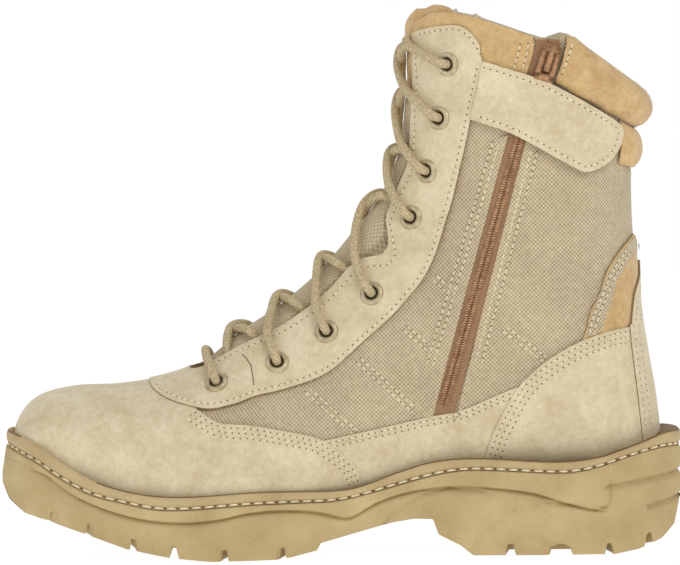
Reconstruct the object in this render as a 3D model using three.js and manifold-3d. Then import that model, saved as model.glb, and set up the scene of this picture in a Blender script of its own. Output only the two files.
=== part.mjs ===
// A right combat boot with lugged rubber sole, laced front and a zip on its inner side.
// Millimetres, +X towards the toe, +Y towards the inner side, +Z up, standing on z = 0.
import * as THREE from 'three';
import { mergeVertices } from 'three/addons/utils/BufferGeometryUtils.js';
import Module from 'manifold-3d';

const wasm = await Module();
wasm.setup();

// Driving dimensions
const LENGTH = 308;            // outsole, heel to toe
const HEIGHT = 250;            // floor to the highest point of the collar
const BALL_WIDTH = 110;        // outsole across the ball of the foot
const WALL = 2.5;              // upper, cloth and lining together
const OVERLAY = 1.5;           // suede pieces sewn on the upper
const GAP = 0.3;               // between pieces that touch
const INSOLE = 4.5;            // thickness of the footbed
const TONGUE = 4.5;            // thickness of the padded tongue
const TONGUE_HALF = 27;        // half of the tongue's width
const LUG_DEPTH = 5;           // tread grooves
const SOLE_STEP = 2.2;         // the tread wall lies this far inside the band above it
const RIB_GROOVE = 1.2;        // grooves round the back of the heel
const LACE = 4.3;              // diameter of the round lace
const EYELET = 11;             // outer diameter of an eyelet's ring
const EYELET_HOLE = 6.2;       // hole through an eyelet
const BARREL_WALL = 0.8;       // wall of an eyelet's barrel
const RING_HEIGHT = 1.1;       // height of an eyelet's ring
const RING_SEAT = 0.8;         // its underside above the suede, which is curved
const TAPE = 0.9;              // thickness of the zip's tape
const STRAP = 1.9;             // thickness of the strap over the zip
const ROLL_UPPER = 6.4;        // how far the top collar roll stands out at the heel
const ROLL_LOWER = 3.2;        // the same for the roll under it
const SLIDER_LENGTH = 12.6;    // zip slider along the zip
const SLIDER_WIDTH = 8.4;      // zip slider across the zip
const SLIDER_PLATE = 1.6;      // thickness of the slider's top plate
const BRIDGE_WIDTH = 2.6;      // bridge that holds the pull tab
const BRIDGE_BAR = 0.9;        // thickness of the bridge
const PULL_WIDTH = 8.8;        // pull tab across
const PULL_REACH = 14;         // pull tab from its pivot to its free end
const PULL_THICK = 1.2;        // pull tab's plate
const AROUND = 20;             // faces round a section of the boot

// A table is a list of rows with named columns
const table = (names, rows) => rows.map((row) => Object.fromEntries(names.map((n, i) => [n, row[i]])));

// Sections of the boot from the toe's tip over the foot and up the shaft. Each lies between a front
// point and a back point of the side view: x is a share of LENGTH, z of HEIGHT. Middle line and half
// width are shares of BALL_WIDTH, wide says how far from the back point a section is widest, and
// over and under say how square its front and back halves are.
const SECTIONS = table(
  ['frontX', 'frontZ', 'backX', 'backZ', 'middle', 'half', 'wide', 'over', 'under'],
  [
    [0.976, 0.152, 0.961, 0.127, 0.059, 0.070, 0.50, 2.2, 2.2],
    [0.982, 0.184, 0.946, 0.118, 0.059, 0.180, 0.45, 2.2, 2.4],
    [0.977, 0.242, 0.923, 0.110, 0.055, 0.262, 0.36, 2.2, 2.8],
    [0.948, 0.285, 0.891, 0.100, 0.047, 0.328, 0.32, 2.3, 3.1],
    [0.893, 0.303, 0.844, 0.086, 0.036, 0.384, 0.30, 2.3, 3.3],
    [0.827, 0.306, 0.776, 0.074, 0.024, 0.426, 0.28, 2.3, 3.5],
    [0.760, 0.319, 0.705, 0.070, 0.011, 0.445, 0.26, 2.2, 3.5],
    [0.708, 0.344, 0.631, 0.071, 0.000, 0.432, 0.25, 2.1, 3.4],
    [0.649, 0.402, 0.554, 0.079, -0.013, 0.400, 0.25, 2.0, 3.3],
    [0.592, 0.448, 0.471, 0.092, -0.024, 0.359, 0.27, 2.0, 3.1],
    [0.532, 0.510, 0.379, 0.108, -0.025, 0.332, 0.30, 2.0, 3.0],
    [0.484, 0.578, 0.278, 0.119, -0.020, 0.323, 0.34, 2.0, 2.9],
    [0.446, 0.636, 0.178, 0.124, -0.013, 0.323, 0.38, 2.0, 2.8],
    [0.425, 0.690, 0.095, 0.124, -0.005, 0.327, 0.42, 2.0, 2.6],
    [0.412, 0.730, 0.047, 0.142, 0.000, 0.332, 0.46, 2.0, 2.3],
    [0.408, 0.766, 0.034, 0.197, 0.000, 0.335, 0.48, 2.0, 2.2],
    [0.405, 0.799, 0.038, 0.270, 0.000, 0.333, 0.49, 2.05, 2.2],
    [0.403, 0.828, 0.049, 0.354, 0.000, 0.327, 0.49, 2.1, 2.2],
    [0.401, 0.853, 0.059, 0.438, 0.000, 0.322, 0.49, 2.1, 2.2],
    [0.401, 0.875, 0.061, 0.518, 0.000, 0.320, 0.49, 2.1, 2.2],
    [0.401, 0.897, 0.065, 0.602, 0.000, 0.322, 0.49, 2.1, 2.2],
    [0.401, 0.922, 0.066, 0.678, 0.000, 0.325, 0.49, 2.1, 2.2],
    [0.401, 0.952, 0.065, 0.755, 0.000, 0.331, 0.49, 2.1, 2.2],
    [0.398, 0.992, 0.058, 0.832, 0.000, 0.336, 0.49, 2.1, 2.2],
    [0.393, 1.048, 0.052, 0.928, 0.000, 0.341, 0.49, 2.1, 2.2],
  ],
);

// The sole seen from above: along is a share of LENGTH, middle and half are shares of BALL_WIDTH
const SOLE_PLAN = table(['along', 'middle', 'half'], [
  [0.000, 0.000, 0.080],
  [0.008, 0.000, 0.140],
  [0.030, 0.000, 0.225],
  [0.070, 0.000, 0.298],
  [0.130, 0.000, 0.345],
  [0.200, -0.003, 0.362],
  [0.290, -0.015, 0.362],
  [0.380, -0.030, 0.362],
  [0.460, -0.034, 0.382],
  [0.540, -0.027, 0.420],
  [0.620, -0.014, 0.466],
  [0.700, 0.000, 0.494],
  [0.760, 0.009, 0.498],
  [0.830, 0.023, 0.468],
  [0.890, 0.036, 0.411],
  [0.940, 0.048, 0.327],
  [0.972, 0.057, 0.238],
  [0.992, 0.062, 0.138],
  [1.000, 0.064, 0.060],
]);

// Lines of the side view, x as a share of LENGTH and z as a share of HEIGHT, from the heel to the toe
const side = (rows) => rows.map(([x, z]) => [x * LENGTH, z * HEIGHT]);
const SEAM_LINE = side([
  [0.000, 0.216], [0.021, 0.216], [0.043, 0.208], [0.061, 0.200], [0.092, 0.188], [0.128, 0.175],
  [0.191, 0.169], [0.294, 0.176], [0.361, 0.172], [0.417, 0.153], [0.471, 0.129], [0.513, 0.122],
  [0.619, 0.124], [0.727, 0.119], [0.788, 0.124], [0.840, 0.139], [0.879, 0.159], [0.910, 0.181],
  [0.936, 0.203], [0.965, 0.219], [1.000, 0.229],
]);
const STITCH_LINE = side([
  [0.000, 0.186], [0.031, 0.187], [0.078, 0.175], [0.120, 0.159], [0.155, 0.150], [0.191, 0.148],
  [0.294, 0.154], [0.335, 0.152], [0.380, 0.141], [0.446, 0.119], [0.505, 0.103], [0.562, 0.101],
  [0.630, 0.100], [0.752, 0.094], [0.820, 0.108], [0.870, 0.124], [0.920, 0.156], [0.950, 0.178],
  [1.000, 0.200],
]);
const STEP_LINE = side([
  [0.121, 0.080], [0.169, 0.093], [0.218, 0.112], [0.266, 0.121], [0.327, 0.126], [0.393, 0.119],
  [0.442, 0.102], [0.480, 0.077], [0.494, 0.073], [0.510, 0.077], [0.538, 0.085], [0.584, 0.090],
  [0.634, 0.087], [0.678, 0.077], [0.727, 0.073], [0.776, 0.077], [0.826, 0.090], [0.875, 0.112],
  [0.905, 0.132], [0.932, 0.156],
]);
const FOOTBED_LINE = side([
  [0.000, 0.124], [0.095, 0.124], [0.178, 0.124], [0.278, 0.119], [0.379, 0.108], [0.471, 0.092],
  [0.554, 0.079], [0.631, 0.071], [0.705, 0.070], [0.776, 0.074], [0.844, 0.086], [0.891, 0.100],
  [0.923, 0.110], [0.946, 0.118], [1.000, 0.136],
]);
const TREAD_LINE = side([
  [0.0065, 0.200], [0.0125, 0.158], [0.005, 0.125], [0.003, 0.094], [0.012, 0.048], [0.032, 0.024],
  [0.066, 0.008], [0.104, 0.000], [0.310, 0.000], [0.328, 0.018], [0.360, 0.038], [0.368, 0.066],
  [0.395, 0.067], [0.430, 0.060], [0.490, 0.040], [0.530, 0.027], [0.536, 0.014], [0.575, 0.003],
  [0.590, 0.000], [0.690, 0.000], [0.752, 0.009], [0.815, 0.025], [0.876, 0.051], [0.926, 0.070],
  [0.964, 0.086], [0.988, 0.108], [0.999, 0.135], [1.000, 0.165], [0.992, 0.205], [0.983, 0.226],
]);
const COLLAR_LINE = side([
  [0.000, 0.765], [0.033, 0.812], [0.048, 0.832], [0.090, 0.870], [0.139, 0.914], [0.155, 0.931],
  [0.168, 0.937], [0.192, 0.930], [0.219, 0.942], [0.256, 0.959], [0.300, 0.977], [0.335, 0.986],
  [0.362, 0.984], [0.384, 0.968], [0.398, 0.944], [0.430, 0.900],
]);
const ROLL_SEAM = side([[0.000, 0.716], [0.057, 0.756], [0.090, 0.781], [0.139, 0.815], [0.188, 0.849],
  [0.300, 0.920]]);
const ROLL_BOTTOM = side([[0.000, 0.672], [0.062, 0.689], [0.104, 0.706], [0.140, 0.724], [0.250, 0.785]]);

// Outlines of the sewn pieces in the side view, as above. They end below the seam line.
const VAMP = side([
  [0.738, 0.274], [0.713, 0.266], [0.680, 0.253], [0.642, 0.239], [0.594, 0.231], [0.550, 0.224],
  [0.523, 0.213], [0.501, 0.192], [0.480, 0.161], [0.468, 0.110], [0.480, 0.050], [1.050, 0.050],
  [1.050, 0.400], [0.770, 0.400], [0.782, 0.314], [0.776, 0.303],
]);
const FOXING = side([
  [0.523, 0.213], [0.478, 0.223], [0.416, 0.239], [0.371, 0.251], [0.327, 0.261], [0.276, 0.287],
  [0.241, 0.305], [0.276, 0.228], [0.291, 0.176], [0.300, 0.080], [0.480, 0.050], [0.468, 0.110],
  [0.480, 0.161], [0.501, 0.192],
]);
const COUNTER = side([
  [0.291, 0.176], [0.276, 0.228], [0.242, 0.302], [0.204, 0.347], [0.156, 0.382], [0.111, 0.400],
  [-0.030, 0.408], [-0.030, 0.080], [0.300, 0.080],
]);
const EYESTAY = side([
  [0.782, 0.314], [0.776, 0.303], [0.738, 0.279], [0.687, 0.271], [0.653, 0.279], [0.624, 0.292],
  [0.580, 0.304], [0.520, 0.331], [0.467, 0.386], [0.419, 0.439], [0.374, 0.507], [0.355, 0.562],
  [0.335, 0.640], [0.319, 0.717], [0.307, 0.785], [0.289, 0.886], [0.284, 0.900], [0.302, 0.936],
  [0.317, 0.950], [0.332, 0.954], [0.361, 0.950], [0.378, 0.945], [0.420, 0.925], [0.440, 0.800],
  [0.560, 0.560], [0.660, 0.460], [0.770, 0.400],
]);
const COLLAR_FRONT = side([
  [0.289, 0.886], [0.284, 0.900], [0.302, 0.936], [0.317, 0.950], [0.332, 0.954], [0.361, 0.950],
  [0.378, 0.945], [0.420, 0.925], [0.440, 1.060], [0.2155, 1.060], [0.2155, 0.906], [0.226, 0.864],
]);
const STRAP_OUTLINE = side([
  [0.288, 0.889], [0.224, 0.864], [0.188, 0.846], [0.139, 0.811], [0.100, 0.778], [0.091, 0.762],
  [0.093, 0.740], [0.104, 0.714], [0.121, 0.697], [0.140, 0.689], [0.155, 0.694], [0.213, 0.736],
  [0.256, 0.764], [0.306, 0.785],
]);
const HEEL_PANEL = side([
  [0.067, 0.571], [0.091, 0.542], [0.110, 0.507], [0.122, 0.465], [0.135, 0.437], [0.142, 0.407],
  [0.111, 0.404], [0.076, 0.412], [0.070, 0.465], [0.060, 0.500], [0.050, 0.545],
]);
const BACKSTAY = side([
  [0.055, 0.560], [0.060, 0.500], [0.070, 0.465], [0.076, 0.412], [0.060, 0.408], [-0.030, 0.408],
  [-0.030, 0.560],
]);
const ZIP_FRONT = side([[0.2155, 0.960], [0.2155, 0.906], [0.252, 0.760], [0.354, 0.337], [0.371, 0.262]]);
const ZIP_BACK = side([[0.178, 0.960], [0.180, 0.895], [0.2225, 0.738], [0.316, 0.337], [0.333, 0.269]]);

// Eyelets of one side from the vamp to the top
const EYELETS = side([
  [0.681, 0.314], [0.593, 0.349], [0.520, 0.403], [0.453, 0.471],
  [0.394, 0.607], [0.370, 0.691], [0.352, 0.787], [0.339, 0.884],
]);
const SLIDER_AT = side([[0.1935, 0.893]])[0];

// The throat: half width, as a share of BALL_WIDTH, from its front end over the scoop above the
// fourth eyelet to the collar
const THROAT_START = 6.75;
const THROAT = table(['place', 'half'], [
  [THROAT_START, 0.090], [7, 0.132], [7.5, 0.156], [8, 0.173], [9, 0.175], [10, 0.165], [10.6, 0.155],
  [11, 0.169], [11.4, 0.195], [11.7, 0.189], [12, 0.135], [12.5, 0.124], [14, 0.127], [17, 0.127],
  [21, 0.130], [SECTIONS.length - 1, 0.133],
]);

// Smooth curve through four values
const smooth = (a, b, c, d, u) => 0.5 * (2 * b + (c - a) * u + (2 * a - 5 * b + 4 * c - d) * u * u
  + (3 * b - a - 3 * c + d) * u ** 3);

// Row of a table at a place between its rows
function between(rows, place) {
  const last = rows.length - 1;
  const i = Math.max(0, Math.min(Math.floor(place), last - 1));
  const pick = (k) => rows[Math.max(0, Math.min(k, last))];
  const [a, b, c, d] = [pick(i - 1), pick(i), pick(i + 1), pick(i + 2)];
  return Object.fromEntries(Object.keys(b).map((n) => [n, smooth(a[n], b[n], c[n], d[n], place - i)]));
}

// Height of a side line at x
function lineAt(line, x) {
  const i = Math.max(1, Math.min(line.length - 1, line.findIndex((p) => p[0] >= x)));
  const [[x0, z0], [x1, z1]] = [line[i - 1], line[line[line.length - 1][0] < x ? line.length - 1 : i]];
  return x1 === x0 ? z1 : z0 + (z1 - z0) * (x - x0) / (x1 - x0);
}

// Point of the boot's outside: place runs over the sections, angle is -90 degrees at the back point,
// 90 degrees at the front point, and passes the inner side between them
function skin(place, angle) {
  const s = between(SECTIONS, place);
  const [c, up] = [Math.cos(angle), Math.sin(angle)];
  const power = 2 / (up >= 0 ? s.over : s.under);
  const rise = Math.abs(up) ** power;
  const h = up >= 0 ? s.wide + (1 - s.wide) * rise : s.wide * (1 - rise);
  return new THREE.Vector3(
    (s.backX + (s.frontX - s.backX) * h) * LENGTH,
    (s.middle + s.half * Math.sign(c) * Math.abs(c) ** power) * BALL_WIDTH,
    (s.backZ + (s.frontZ - s.backZ) * h) * HEIGHT,
  );
}

// Outward direction there
const NUDGE = 0.02;
function outward(place, angle) {
  const top = SECTIONS.length - 1;
  const along = skin(Math.min(place + NUDGE, top), angle).sub(skin(Math.max(place - NUDGE, 0), angle));
  const round = skin(place, angle + NUDGE).sub(skin(place, angle - NUDGE));
  return along.cross(round).normalize();
}
const skinOut = (place, angle, out) => skin(place, angle).addScaledVector(outward(place, angle), out);

// Closed body through rings of points, with both ends closed
function loft(rings) {
  const n = rings[0].length;
  const points = rings.flat();
  const faces = [];
  for (let i = 0; i + 1 < rings.length; i++) {
    for (let j = 0; j < n; j++) {
      const [a, b] = [i * n + j, i * n + (j + 1) % n];
      faces.push(a, b, b + n, a, b + n, a + n);
    }
  }
  const cap = (start, flip) => {
    const ring = points.slice(start, start + n);
    const normal = new THREE.Vector3();
    ring.forEach((p, k) => normal.add(p.clone().cross(ring[(k + 1) % n])));
    const turn = new THREE.Quaternion().setFromUnitVectors(normal.normalize(), new THREE.Vector3(0, 0, 1));
    const flat = ring.map((p) => p.clone().applyQuaternion(turn));
    const tris = THREE.ShapeUtils.triangulateShape(flat.map((p) => new THREE.Vector2(p.x, p.y)), []);
    tris.forEach(([a, b, c]) => faces.push(...(flip ? [c, b, a] : [a, b, c]).map((k) => k + start)));
  };
  cap(0, true);
  cap(points.length - n, false);
  const geometry = new THREE.BufferGeometry().setFromPoints(points);
  const volume = faces.reduce((sum, _, k) => (k % 3 ? sum
    : sum + points[faces[k]].dot(points[faces[k + 1]].clone().cross(points[faces[k + 2]]))), 0);
  geometry.setIndex(volume > 0 ? faces : faces.reverse());
  return geometry;
}

// Solid from a closed geometry, and back
function solid(geometry) {
  let g = geometry.clone();
  g.deleteAttribute('normal');
  g.deleteAttribute('uv');
  g = mergeVertices(g, 1e-4);
  return new wasm.Manifold(new wasm.Mesh({
    numProp: 3,
    vertProperties: new Float32Array(g.attributes.position.array),
    triVerts: new Uint32Array(g.index.array),
  }));
}
function geometryOf(body) {
  const mesh = body.getMesh();
  const geometry = new THREE.BufferGeometry();
  geometry.setAttribute('position', new THREE.BufferAttribute(new Float32Array(mesh.vertProperties), 3));
  geometry.setIndex(Array.from(mesh.triVerts));
  return geometry;
}

// The whole boot's form, grown by out all round and moved down by drop
const RING_PLACES = [0, 1, 2, 3, 4, 5, 6, 7, 8, 9, 10, 11, 12, 13, 14, 15, 16, 18, 20, 22, 24];
function form(out, drop = 0) {
  const rings = RING_PLACES.map((i) => Array.from({ length: AROUND }, (__, j) => {
    const angle = -Math.PI / 2 + 2 * Math.PI * j / AROUND;
    const place = i === 0 ? NUDGE : i;
    const way = i === 0 ? new THREE.Vector3(0.8, 0, -0.6) : outward(place, angle);
    return skin(place, angle).addScaledVector(way, out).add(new THREE.Vector3(0, 0, -drop));
  }));
  return solid(loft(rings));
}

// Prism of a side-view outline across the boot, between two depths
const FAR = BALL_WIDTH;
function sidePrism(points, from = -FAR, to = FAR) {
  const shape = new THREE.Shape(points.map(([x, z]) => new THREE.Vector2(x, z)));
  const geometry = new THREE.ExtrudeGeometry(shape, { depth: to - from, bevelEnabled: false });
  geometry.rotateX(Math.PI / 2);
  geometry.translate(0, to, 0);
  return solid(geometry);
}

// Outline moved inwards (or outwards, if negative) by a distance
function inset(points, by) {
  const area = points.reduce((sum, [x, z], i) => {
    const [u, v] = points[(i + 1) % points.length];
    return sum + x * v - u * z;
  }, 0);
  return points.map((p, i) => {
    const before = points[(i + points.length - 1) % points.length];
    const after = points[(i + 1) % points.length];
    const sides = [[p[0] - before[0], p[1] - before[1]], [after[0] - p[0], after[1] - p[1]]]
      .map(([x, z]) => new THREE.Vector2(-z, x).normalize().multiplyScalar(Math.sign(area)));
    const way = sides[0].clone().add(sides[1]).normalize();
    const reach = by / Math.max(way.dot(sides[0]), 0.5);
    return [p[0] + way.x * reach, p[1] + way.y * reach];
  });
}
const moved = (line, by) => line.map(([x, z]) => [x, z + by]);
const under = (line, floor = -20) => [...line, [line[line.length - 1][0], floor], [line[0][0], floor]];
const over = (line) => [...line, [line[line.length - 1][0], HEIGHT * 1.3], [line[0][0], HEIGHT * 1.3]];

// Sole outline from above, moved inwards by a distance, as a prism
function planPrism(by) {
  const STEPS = 2;
  const count = (SOLE_PLAN.length - 1) * STEPS + 1;
  const rows = Array.from({ length: count }, (_, i) => between(SOLE_PLAN, i / STEPS));
  const inner = rows.map((r) => [r.along * LENGTH, (r.middle + r.half) * BALL_WIDTH]);
  const outer = rows.map((r) => [r.along * LENGTH, (r.middle - r.half) * BALL_WIDTH]).reverse();
  const points = inset([...outer, ...inner], by);
  const shape = new THREE.Shape(points.map(([x, y]) => new THREE.Vector2(x, y)));
  const geometry = new THREE.ExtrudeGeometry(shape, { depth: HEIGHT, bevelEnabled: false });
  geometry.translate(0, 0, -HEIGHT / 2);
  return solid(geometry);
}

// Forms that all pieces are cut from
const LIFT = OVERLAY + GAP;
const outer = form(0);
const outerClear = form(GAP);
const base = form(-LIFT);
const overlayUnder = form(-OVERLAY);
const cavity = form(-LIFT - WALL);
const DROP = LIFT + WALL + GAP * 2;
const lowCavity = form(-LIFT - WALL, DROP);
const insoleForm = form(-LIFT - WALL - GAP, DROP);
const soleBody = planPrism(0);

// Throat: a slot over the front of the sections
const throatLine = THROAT.map(({ place, half: share }) => [place, share]);
const throatHalf = (place) => lineAt(throatLine, Math.max(place, THROAT_START)) * BALL_WIDTH;
const SLOT_OUT = 20;
const SLOT_DEEP = 22;
function slot() {
  const rings = THROAT.map(({ place }) => {
    const [front, back] = [skin(place, Math.PI / 2), skin(place, -Math.PI / 2)];
    const way = front.clone().sub(back).normalize();
    const half = throatHalf(place);
    const corners = [[-half, SLOT_OUT], [half, SLOT_OUT], [half, -SLOT_DEEP], [-half, -SLOT_DEEP]];
    return corners.map(([y, out]) => front.clone().addScaledVector(way, out).add(new THREE.Vector3(0, y, 0)));
  });
  return solid(loft(rings));
}

// Place on the front of a section at a distance y from its middle line
function onFront(place, y, out) {
  const s = between(SECTIONS, place);
  const c = Math.min(Math.abs(y) / (s.half * BALL_WIDTH), 0.999) ** (s.over / 2);
  const angle = y >= 0 ? Math.acos(c) : Math.PI - Math.acos(c);
  return skinOut(place, angle, out);
}

// Where a line across the boot at x and z meets one side (1 inner, -1 outer) of the boot
const FINE = 4;
function onSide([x, z], sign) {
  let best = { gap: Infinity };
  for (let i = 0; i <= (SECTIONS.length - 1) * FINE; i++) {
    for (let j = -44; j <= 44; j++) {
      const angle = j / 45 * Math.PI / 2;
      const turned = sign > 0 ? angle : Math.PI - angle;
      const p = skin(i / FINE, turned);
      const gap = Math.hypot(p.x - x, p.z - z);
      if (gap < best.gap) best = { gap, place: i / FINE, angle: turned };
    }
  }
  for (let step = 1 / FINE; step > 1e-4; step /= 2) {
    for (const [dp, da] of [[step, 0], [-step, 0], [0, step / 20], [0, -step / 20]]) {
      const place = Math.max(NUDGE, Math.min(best.place + dp, SECTIONS.length - 1 - NUDGE));
      const p = skin(place, best.angle + da);
      const gap = Math.hypot(p.x - x, p.z - z);
      if (gap < best.gap) best = { gap, place, angle: best.angle + da };
    }
  }
  const at = skin(best.place, best.angle);
  return { at, normal: outward(best.place, best.angle), place: best.place, angle: best.angle };
}

// Local frame on the boot's side: z outwards, y along a direction of the side view
function seat(spot, along = new THREE.Vector3(0, 0, 1)) {
  const z = spot.normal.clone();
  const y = along.clone().addScaledVector(z, -along.dot(z)).normalize();
  const x = y.clone().cross(z);
  return new THREE.Matrix4().makeBasis(x, y, z).setPosition(spot.at);
}

const group = new THREE.Group();
const COLOURS = {
  rubber: [0xc3ab7c, 0.85, 0], welt: [0xcbb68b, 0.8, 0], cloth: [0xbfa987, 0.9, 0],
  suede: [0xd8c49b, 0.92, 0], brown: [0xc6a46e, 0.9, 0], lining: [0xc9bca0, 0.95, 0],
  zip: [0x8b5e45, 0.7, 0], tab: [0x9a6f4c, 0.5, 0.3], lace: [0xcdb78c, 0.85, 0],
  eyelet: [0xd8cdb4, 0.45, 0.5],
};
function piece(name, shape, finish) {
  const [color, roughness, metalness] = COLOURS[finish];
  const geometry = shape.isBufferGeometry ? shape : geometryOf(shape);
  const mesh = new THREE.Mesh(geometry, new THREE.MeshStandardMaterial({ color, roughness, metalness }));
  mesh.name = name;
  group.add(mesh);
  return mesh;
}

// Tread grooves: place of the outer end along the sole, width and turn in degrees
const GROOVES = table(['along', 'wide', 'turn'], [
  [0.051, 3.5, 18], [0.110, 3, 8], [0.181, 10, 0], [0.256, 4, -6],
  [0.587, 3.6, -12], [0.671, 3.6, -8], [0.744, 3.2, 0], [0.804, 3, 8], [0.870, 3, 16], [0.925, 2.6, 24],
]);
const SPINE = 0.11;            // half width of the tread's uncut middle, as a share of BALL_WIDTH
const treadHeight = (x) => lineAt(TREAD_LINE, x);
const planEdge = (along, sign) => (
  lineAt(SOLE_PLAN.map((row) => [row.along, row.middle + sign * row.half]), along) * BALL_WIDTH
);
function grooves() {
  let cut = null;
  for (const { along, wide, turn } of GROOVES) {
    for (const sign of [1, -1]) {
      const box = new THREE.BoxGeometry(wide, BALL_WIDTH, LUG_DEPTH * 2);
      const edgeY = planEdge(along, sign);
      box.translate(0, sign * (BALL_WIDTH / 2 + SPINE * BALL_WIDTH) - edgeY, 0);
      box.rotateZ(sign * turn * Math.PI / 180);
      box.translate(along * LENGTH, edgeY, treadHeight(along * LENGTH));
      cut = cut ? cut.add(solid(box)) : solid(box);
    }
  }
  return cut;
}

// Outsole: the plan and the side profile together, hollowed by the boot's form
const soleProfile = [...TREAD_LINE.slice(1, -1), ...[...STITCH_LINE].reverse().slice(1, -1)];
const stepOutline = [...STEP_LINE, ...side([[0.965, 0.086], [0.965, -0.080], [0.120, -0.080]])];
const ribs = [
  side([[-0.02, 0.149], [0.112, 0.124], [0.112, 0.118], [-0.02, 0.143]]),
  side([[-0.02, 0.105], [0.050, 0.086], [0.050, 0.080], [-0.02, 0.099]]),
];
let outsole = soleBody.intersect(sidePrism(soleProfile));
outsole = outsole.subtract(sidePrism(stepOutline).subtract(planPrism(SOLE_STEP)));
for (const rib of ribs) outsole = outsole.subtract(sidePrism(rib).subtract(planPrism(RIB_GROOVE)));
outsole = outsole.subtract(grooves()).subtract(outerClear);
piece('outsole', outsole, 'rubber');

// Welt: the strip between the stitch line and the seam line
const weltProfile = [
  ...moved(STITCH_LINE, GAP).slice(1, -1), ...side([[0.992, 0.205], [0.983, 0.229]]),
  ...[...SEAM_LINE].reverse().slice(1, -1), ...side([[0.0065, 0.214]]),
];
piece('welt', soleBody.intersect(sidePrism(weltProfile)).subtract(outerClear), 'welt');

// Upper: full thickness inside the cup, thinner above it where the suede pieces lie on it
const FOLD_UNDER = HEIGHT * 0.016;
const lowLine = moved(SEAM_LINE, -FOLD_UNDER);
const widened = (line) => [[-20, line[0][1]], ...line, [LENGTH + 20, line[line.length - 1][1]]];
const underSeam = sidePrism(under(widened(lowLine)));
const overCollar = sidePrism(over([[-40, COLLAR_LINE[0][1]], ...COLLAR_LINE, [LENGTH, HEIGHT * 0.5]]));
const FLOOR_OPENING = side([[0.060, -0.1], [0.960, -0.1], [0.960, 0.2], [0.060, 0.2]]);
const floorCut = lowCavity.intersect(sidePrism(FLOOR_OPENING));
const openThroat = slot();
const eyeletSpots = [1, -1].flatMap((sign) => (
  EYELETS.map((p, i) => ({ ...onSide(p, sign), sign, number: i + 1 }))
));
const BARREL = EYELET_HOLE / 2 + BARREL_WALL;
const RING_SIDES = 8;
const HOLE_SIDES = 6;
const HOLE = (BARREL + GAP) / Math.cos(Math.PI / HOLE_SIDES);
let eyeletHoles = null;
for (const spot of eyeletSpots) {
  const drill = new THREE.CylinderGeometry(HOLE, HOLE, 20, HOLE_SIDES).rotateX(Math.PI / 2);
  const body = solid(drill.applyMatrix4(seat(spot)));
  eyeletHoles = eyeletHoles ? eyeletHoles.add(body) : body;
}
let upper = base.add(outer.intersect(underSeam)).subtract(cavity).subtract(floorCut);
upper = upper.subtract(overCollar).subtract(openThroat).subtract(eyeletHoles);
piece('upper', upper, 'cloth');

// Insole: lies on the sole inside the upper's open bottom
const insoleSide = [...moved(FOOTBED_LINE, GAP / 2), ...moved([...FOOTBED_LINE].reverse(), GAP / 2 + INSOLE)];
const insoleRoom = base.intersect(sidePrism(inset(FLOOR_OPENING, GAP)));
piece('insole', insoleForm.intersect(sidePrism(insoleSide)).intersect(insoleRoom), 'lining');

// Tongue: wings under the eyestays and a raised middle that fills the throat
const TONGUE_START = 6.2;
const TONGUE_END = 23.2;
const TONGUE_CREST = -0.8;     // height of its middle against the form
const TONGUE_RISE = 18.4;      // most half width of its raised middle
const tonguePlaces = [
  TONGUE_START, THROAT_START + 0.1, THROAT_START + 0.5, 8, 9, 10, 10.9, 11.5, 12, 13, 14, 16, 18, 20, 22,
  TONGUE_END,
];
const tongueRings = tonguePlaces.map((place) => {
  const hidden = place < THROAT_START + 0.3;
  const half = hidden ? 0.12 * BALL_WIDTH : Math.min(throatHalf(place) - 1.3, TONGUE_RISE);
  const depth = -LIFT - WALL - GAP - 0.5;
  const crest = hidden ? depth + 0.4 : TONGUE_CREST;
  const brink = hidden ? depth + 0.2 : TONGUE_CREST - 1;
  const wide = TONGUE_HALF;
  const top = [
    [-wide, depth], [-half, depth], [-half, brink], [-half * 0.5, crest],
    [half * 0.5, crest], [half, brink], [half, depth], [wide, depth],
  ];
  const bottom = [
    [wide, depth - TONGUE * 0.5], [half * 0.5, depth - TONGUE],
    [-half * 0.5, depth - TONGUE], [-wide, depth - TONGUE * 0.5],
  ];
  return [...top, ...bottom].map(([y, out]) => onFront(place, y, out));
});
const tongueForm = solid(loft(tongueRings));
piece('tongue', tongueForm, 'brown');

// Sewn-on suede: a thin layer of the form inside a side outline
const underSeamClear = sidePrism(under(widened(moved(SEAM_LINE, GAP - FOLD_UNDER))));
const layer = outer.subtract(overlayUnder).subtract(underSeamClear).subtract(overCollar);
const half = GAP / 2;
const sewn = (outline, from, to) => layer.intersect(sidePrism(inset(outline, half), from, to));
const eyestay = sewn(EYESTAY).subtract(openThroat).subtract(eyeletHoles);
piece('eyestay', eyestay, 'suede');
piece('toe_vamp', sewn(VAMP), 'suede');
piece('heel_counter', sewn(COUNTER), 'suede');
const SIDES = [['medial', half, FAR], ['lateral', -FAR, -half]];
for (const [name, from, to] of SIDES) {
  piece(`foxing_${name}`, sewn(FOXING, from, to), 'suede');
  piece(`collar_front_${name}`, sewn(COLLAR_FRONT, from, to).subtract(openThroat), 'brown');
  piece(`heel_panel_${name}`, sewn(HEEL_PANEL, from, to), 'brown');
}
piece('backstay', sewn(BACKSTAY), 'suede');

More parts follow.
